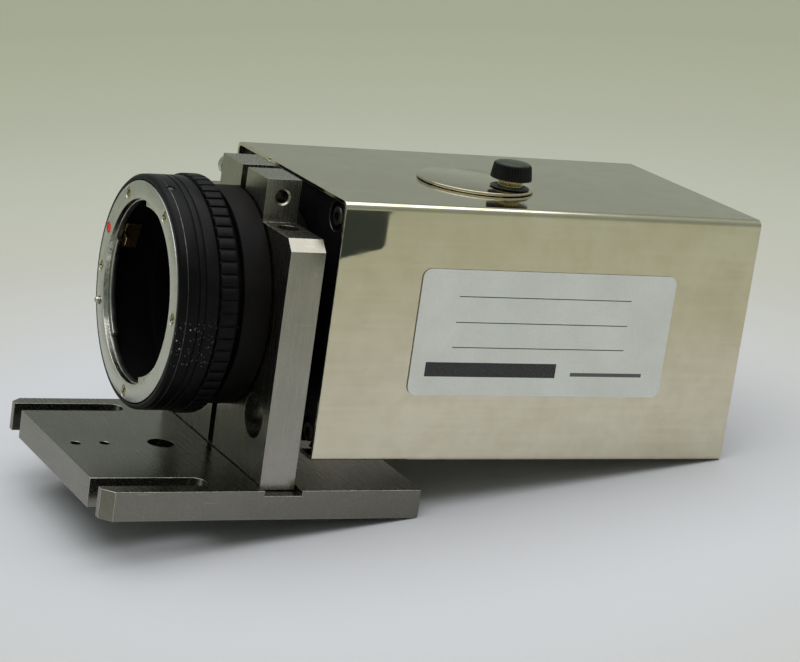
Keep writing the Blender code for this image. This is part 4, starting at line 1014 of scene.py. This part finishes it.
def make_power_connector():
    """Four pins in the round shell."""
    rim = place("power_connector")[1].y
    centre = middle("power_connector")
    x, z = centre.x, centre.z
    well, radius, pin_circle = rim - 4.4, 4.4, 2.3
    profile = [(0.0, well + 0.05), (radius, well + 0.05), (radius, well + 1.0), (0.0, well + 1.0)]
    extra(lathe("power_insert", profile, (x, 0, z), [PLASTIC], segments=64))
    for k in range(4):
        a = math.radians(45 + 90 * k)
        contact(f"power_pin_{k}", x + pin_circle * math.cos(a), z + pin_circle * math.sin(a), well + 0.8,
                rim - 0.6, 0.5, 0.25, 0.4)


def make_inside():
    for node, looks, edge in (
            ("chassis", [COVER, COVER_EDGE], 0.12), ("sensor_chamber", [BLACK, BLACK_EDGE], 0.2),
            ("heat_sink", [ALUMINIUM], 0.12), ("cold_finger", [ALUMINIUM], 0.2),
            ("peltier_cooler", [CERAMIC], 0.05), ("ccd_sensor", [DIE], 0.1), ("fan_frame", [PLASTIC], 0.15),
            ("fan_rotor", [PLASTIC], 0.08), ("main_board", [BOARD], 0.05), ("readout_board", [BOARD], 0.05),
            ("window_seal", [PLASTIC], 0.1), ("window_glass", [GLASS], 0.15), ("knob_nut", [STEEL], 0.15)):
        refined(node, looks, edge)
    for number in range(1, 5):
        refined(f"board_post_{number}", [BRASS], 0.1)


make_stand()
make_nose()
make_barrel()
make_grip_ring()
make_flange()
make_flange_screws()
make_lens_lock()
make_front_plate()
make_cover()
make_cover_screws()
make_label()
make_disc()
make_thumb_screw()
make_rear()
make_inside()


# --- stage ---------------------------------------------------------------------

def upright_frame():
    """The turn that makes the floor the object rests on level."""
    return Matrix.Translation(Vector((0, REST_EDGE_Y, REST_EDGE_Z)) * MM) @ Matrix.Rotation(TILT, 4, "X")


def make_floor():
    """A seamless sweep: flat round the object and curved up to a wall all the way round."""
    flat, curve, height = 0.9, 0.49, 1.61   # m
    outline = [(0.0, 0.0)] + [(flat * k / 8, 0.0) for k in range(1, 9)]
    outline += [(flat + curve * math.sin(math.radians(a)), curve * (1 - math.cos(math.radians(a))))
                for a in range(6, 91, 6)]
    outline.append((flat + curve, height))
    bm = bmesh.new()
    rings = [turned_ring(bm, r, z, 96) for r, z in outline]
    for ring, upper in zip(rings, rings[1:]):
        bridge(bm, ring, upper)
    floor = shown("stage_floor", bm, [floor_look()], sharp=80)
    floor.matrix_world = upright_frame()


def floor_look():
    """Matt paper, greener away from the object; its paleness round the object is a painted pool of light."""
    look = Look("stage_paper", 0.0, Specular_IOR_Level=0.1, Roughness=0.9)
    centre = look.tree.nodes.new("ShaderNodeVectorMath")
    centre.operation = "LENGTH"
    look.join(look.point, centre.inputs[0])
    reach = centre.outputs["Value"]
    # Tones by distance from the object: the pale middle is a painted pool of light.
    light_pool_tones = ((0.0, (0.53, 0.535, 0.565)), (0.12, (0.525, 0.53, 0.558)), (0.24, (0.455, 0.455, 0.405)),
             (0.34, (0.42, 0.432, 0.365)), (0.46, (0.375, 0.385, 0.31)), (0.66, (0.34, 0.358, 0.262)),
             (1.4, (0.335, 0.36, 0.335)))
    tone = light_pool_tones[0][1]
    for (start, _), (end, colour) in zip(light_pool_tones, light_pool_tones[1:]):
        tone = look.mix(look.ramp(reach, start, end), tone, colour)
    look.feed("Base Color", tone)
    return look.material


def make_dark_card():
    """A dark card beside the cover, seen only as a reflection in its polished side."""
    side = COVER_HIGH.x
    card_x = side + 22.0
    eye = Vector(CAMERA_PLACE)
    mirror = Vector((2 * side - eye.x, eye.y, eye.z))
    spots = ((COVER_LOW.y - 6, 85.4), (27.6, 85.2), (26.2, 83.6), (26.2, 75.6), (25.4, 74.5), (23.8, 74.0),
             (14.4, 71.6), (COVER_LOW.y - 6, 68.0))
    bm = bmesh.new()
    corners = []
    for y, z in spots:
        ray = Vector((side, y, z)) - mirror
        corners.append(bm.verts.new((mirror + ray * ((card_x - mirror.x) / ray.x)) * MM))
    bm.faces.new(corners)
    look = Look("stage_card", 0.0, Roughness=0.8)
    look.feed("Base Color", look.mix(look.noise(12), (0.05, 0.068, 0.08), (0.1, 0.125, 0.115)))
    card = shown("stage_card", bm, [look.material])
    for ray in ("camera", "diffuse", "shadow", "transmission"):
        setattr(card, f"visible_{ray}", False)


def make_light(name, place_mm, target_mm, size, power, colour):
    light = bpy.data.lights.new(name, "AREA")
    light.shape = "RECTANGLE"
    light.size, light.size_y = size
    light.energy = power
    light.color = colour
    obj = bpy.data.objects.new(name, light)
    bpy.context.scene.collection.objects.link(obj)
    start, target = (upright_frame() @ (Vector(p) * MM) for p in (place_mm, target_mm))
    aim = (target - start).to_track_quat("-Z", "Y").to_matrix().to_4x4()
    obj.matrix_world = Matrix.Translation(start) @ aim


def make_lights():
    make_light("overhead_softbox", (0, 0, 1680), (0, 0, 0), (2.7, 2.7), 43.0, (1.0, 1.0, 0.985))
    world = bpy.data.worlds.new("studio_world")
    world.use_nodes = True
    background = world.node_tree.nodes["Background"]
    background.inputs["Color"].default_value = (0.93, 0.95, 1.0, 1.0)
    background.inputs["Strength"].default_value = 0.55
    bpy.context.scene.world = world


def make_camera():
    camera = bpy.data.objects.new("view", bpy.data.cameras.new("view"))
    camera.data.lens = CAMERA_LENS
    camera.data.sensor_width = 36.0
    camera.data.clip_start = 0.01
    camera.matrix_world = (Matrix.Translation(Vector(CAMERA_PLACE) * MM)
                           @ Matrix.Rotation(math.radians(CAMERA_AZIMUTH), 4, "Z")
                           @ Matrix.Rotation(math.radians(90 - CAMERA_ELEVATION), 4, "X")
                           @ Matrix.Rotation(math.radians(CAMERA_ROLL), 4, "Z"))
    bpy.context.scene.collection.objects.link(camera)
    bpy.context.scene.camera = camera


make_floor()
make_dark_card()
make_lights()
make_camera()
bpy.context.scene.view_settings.view_transform = "Standard"
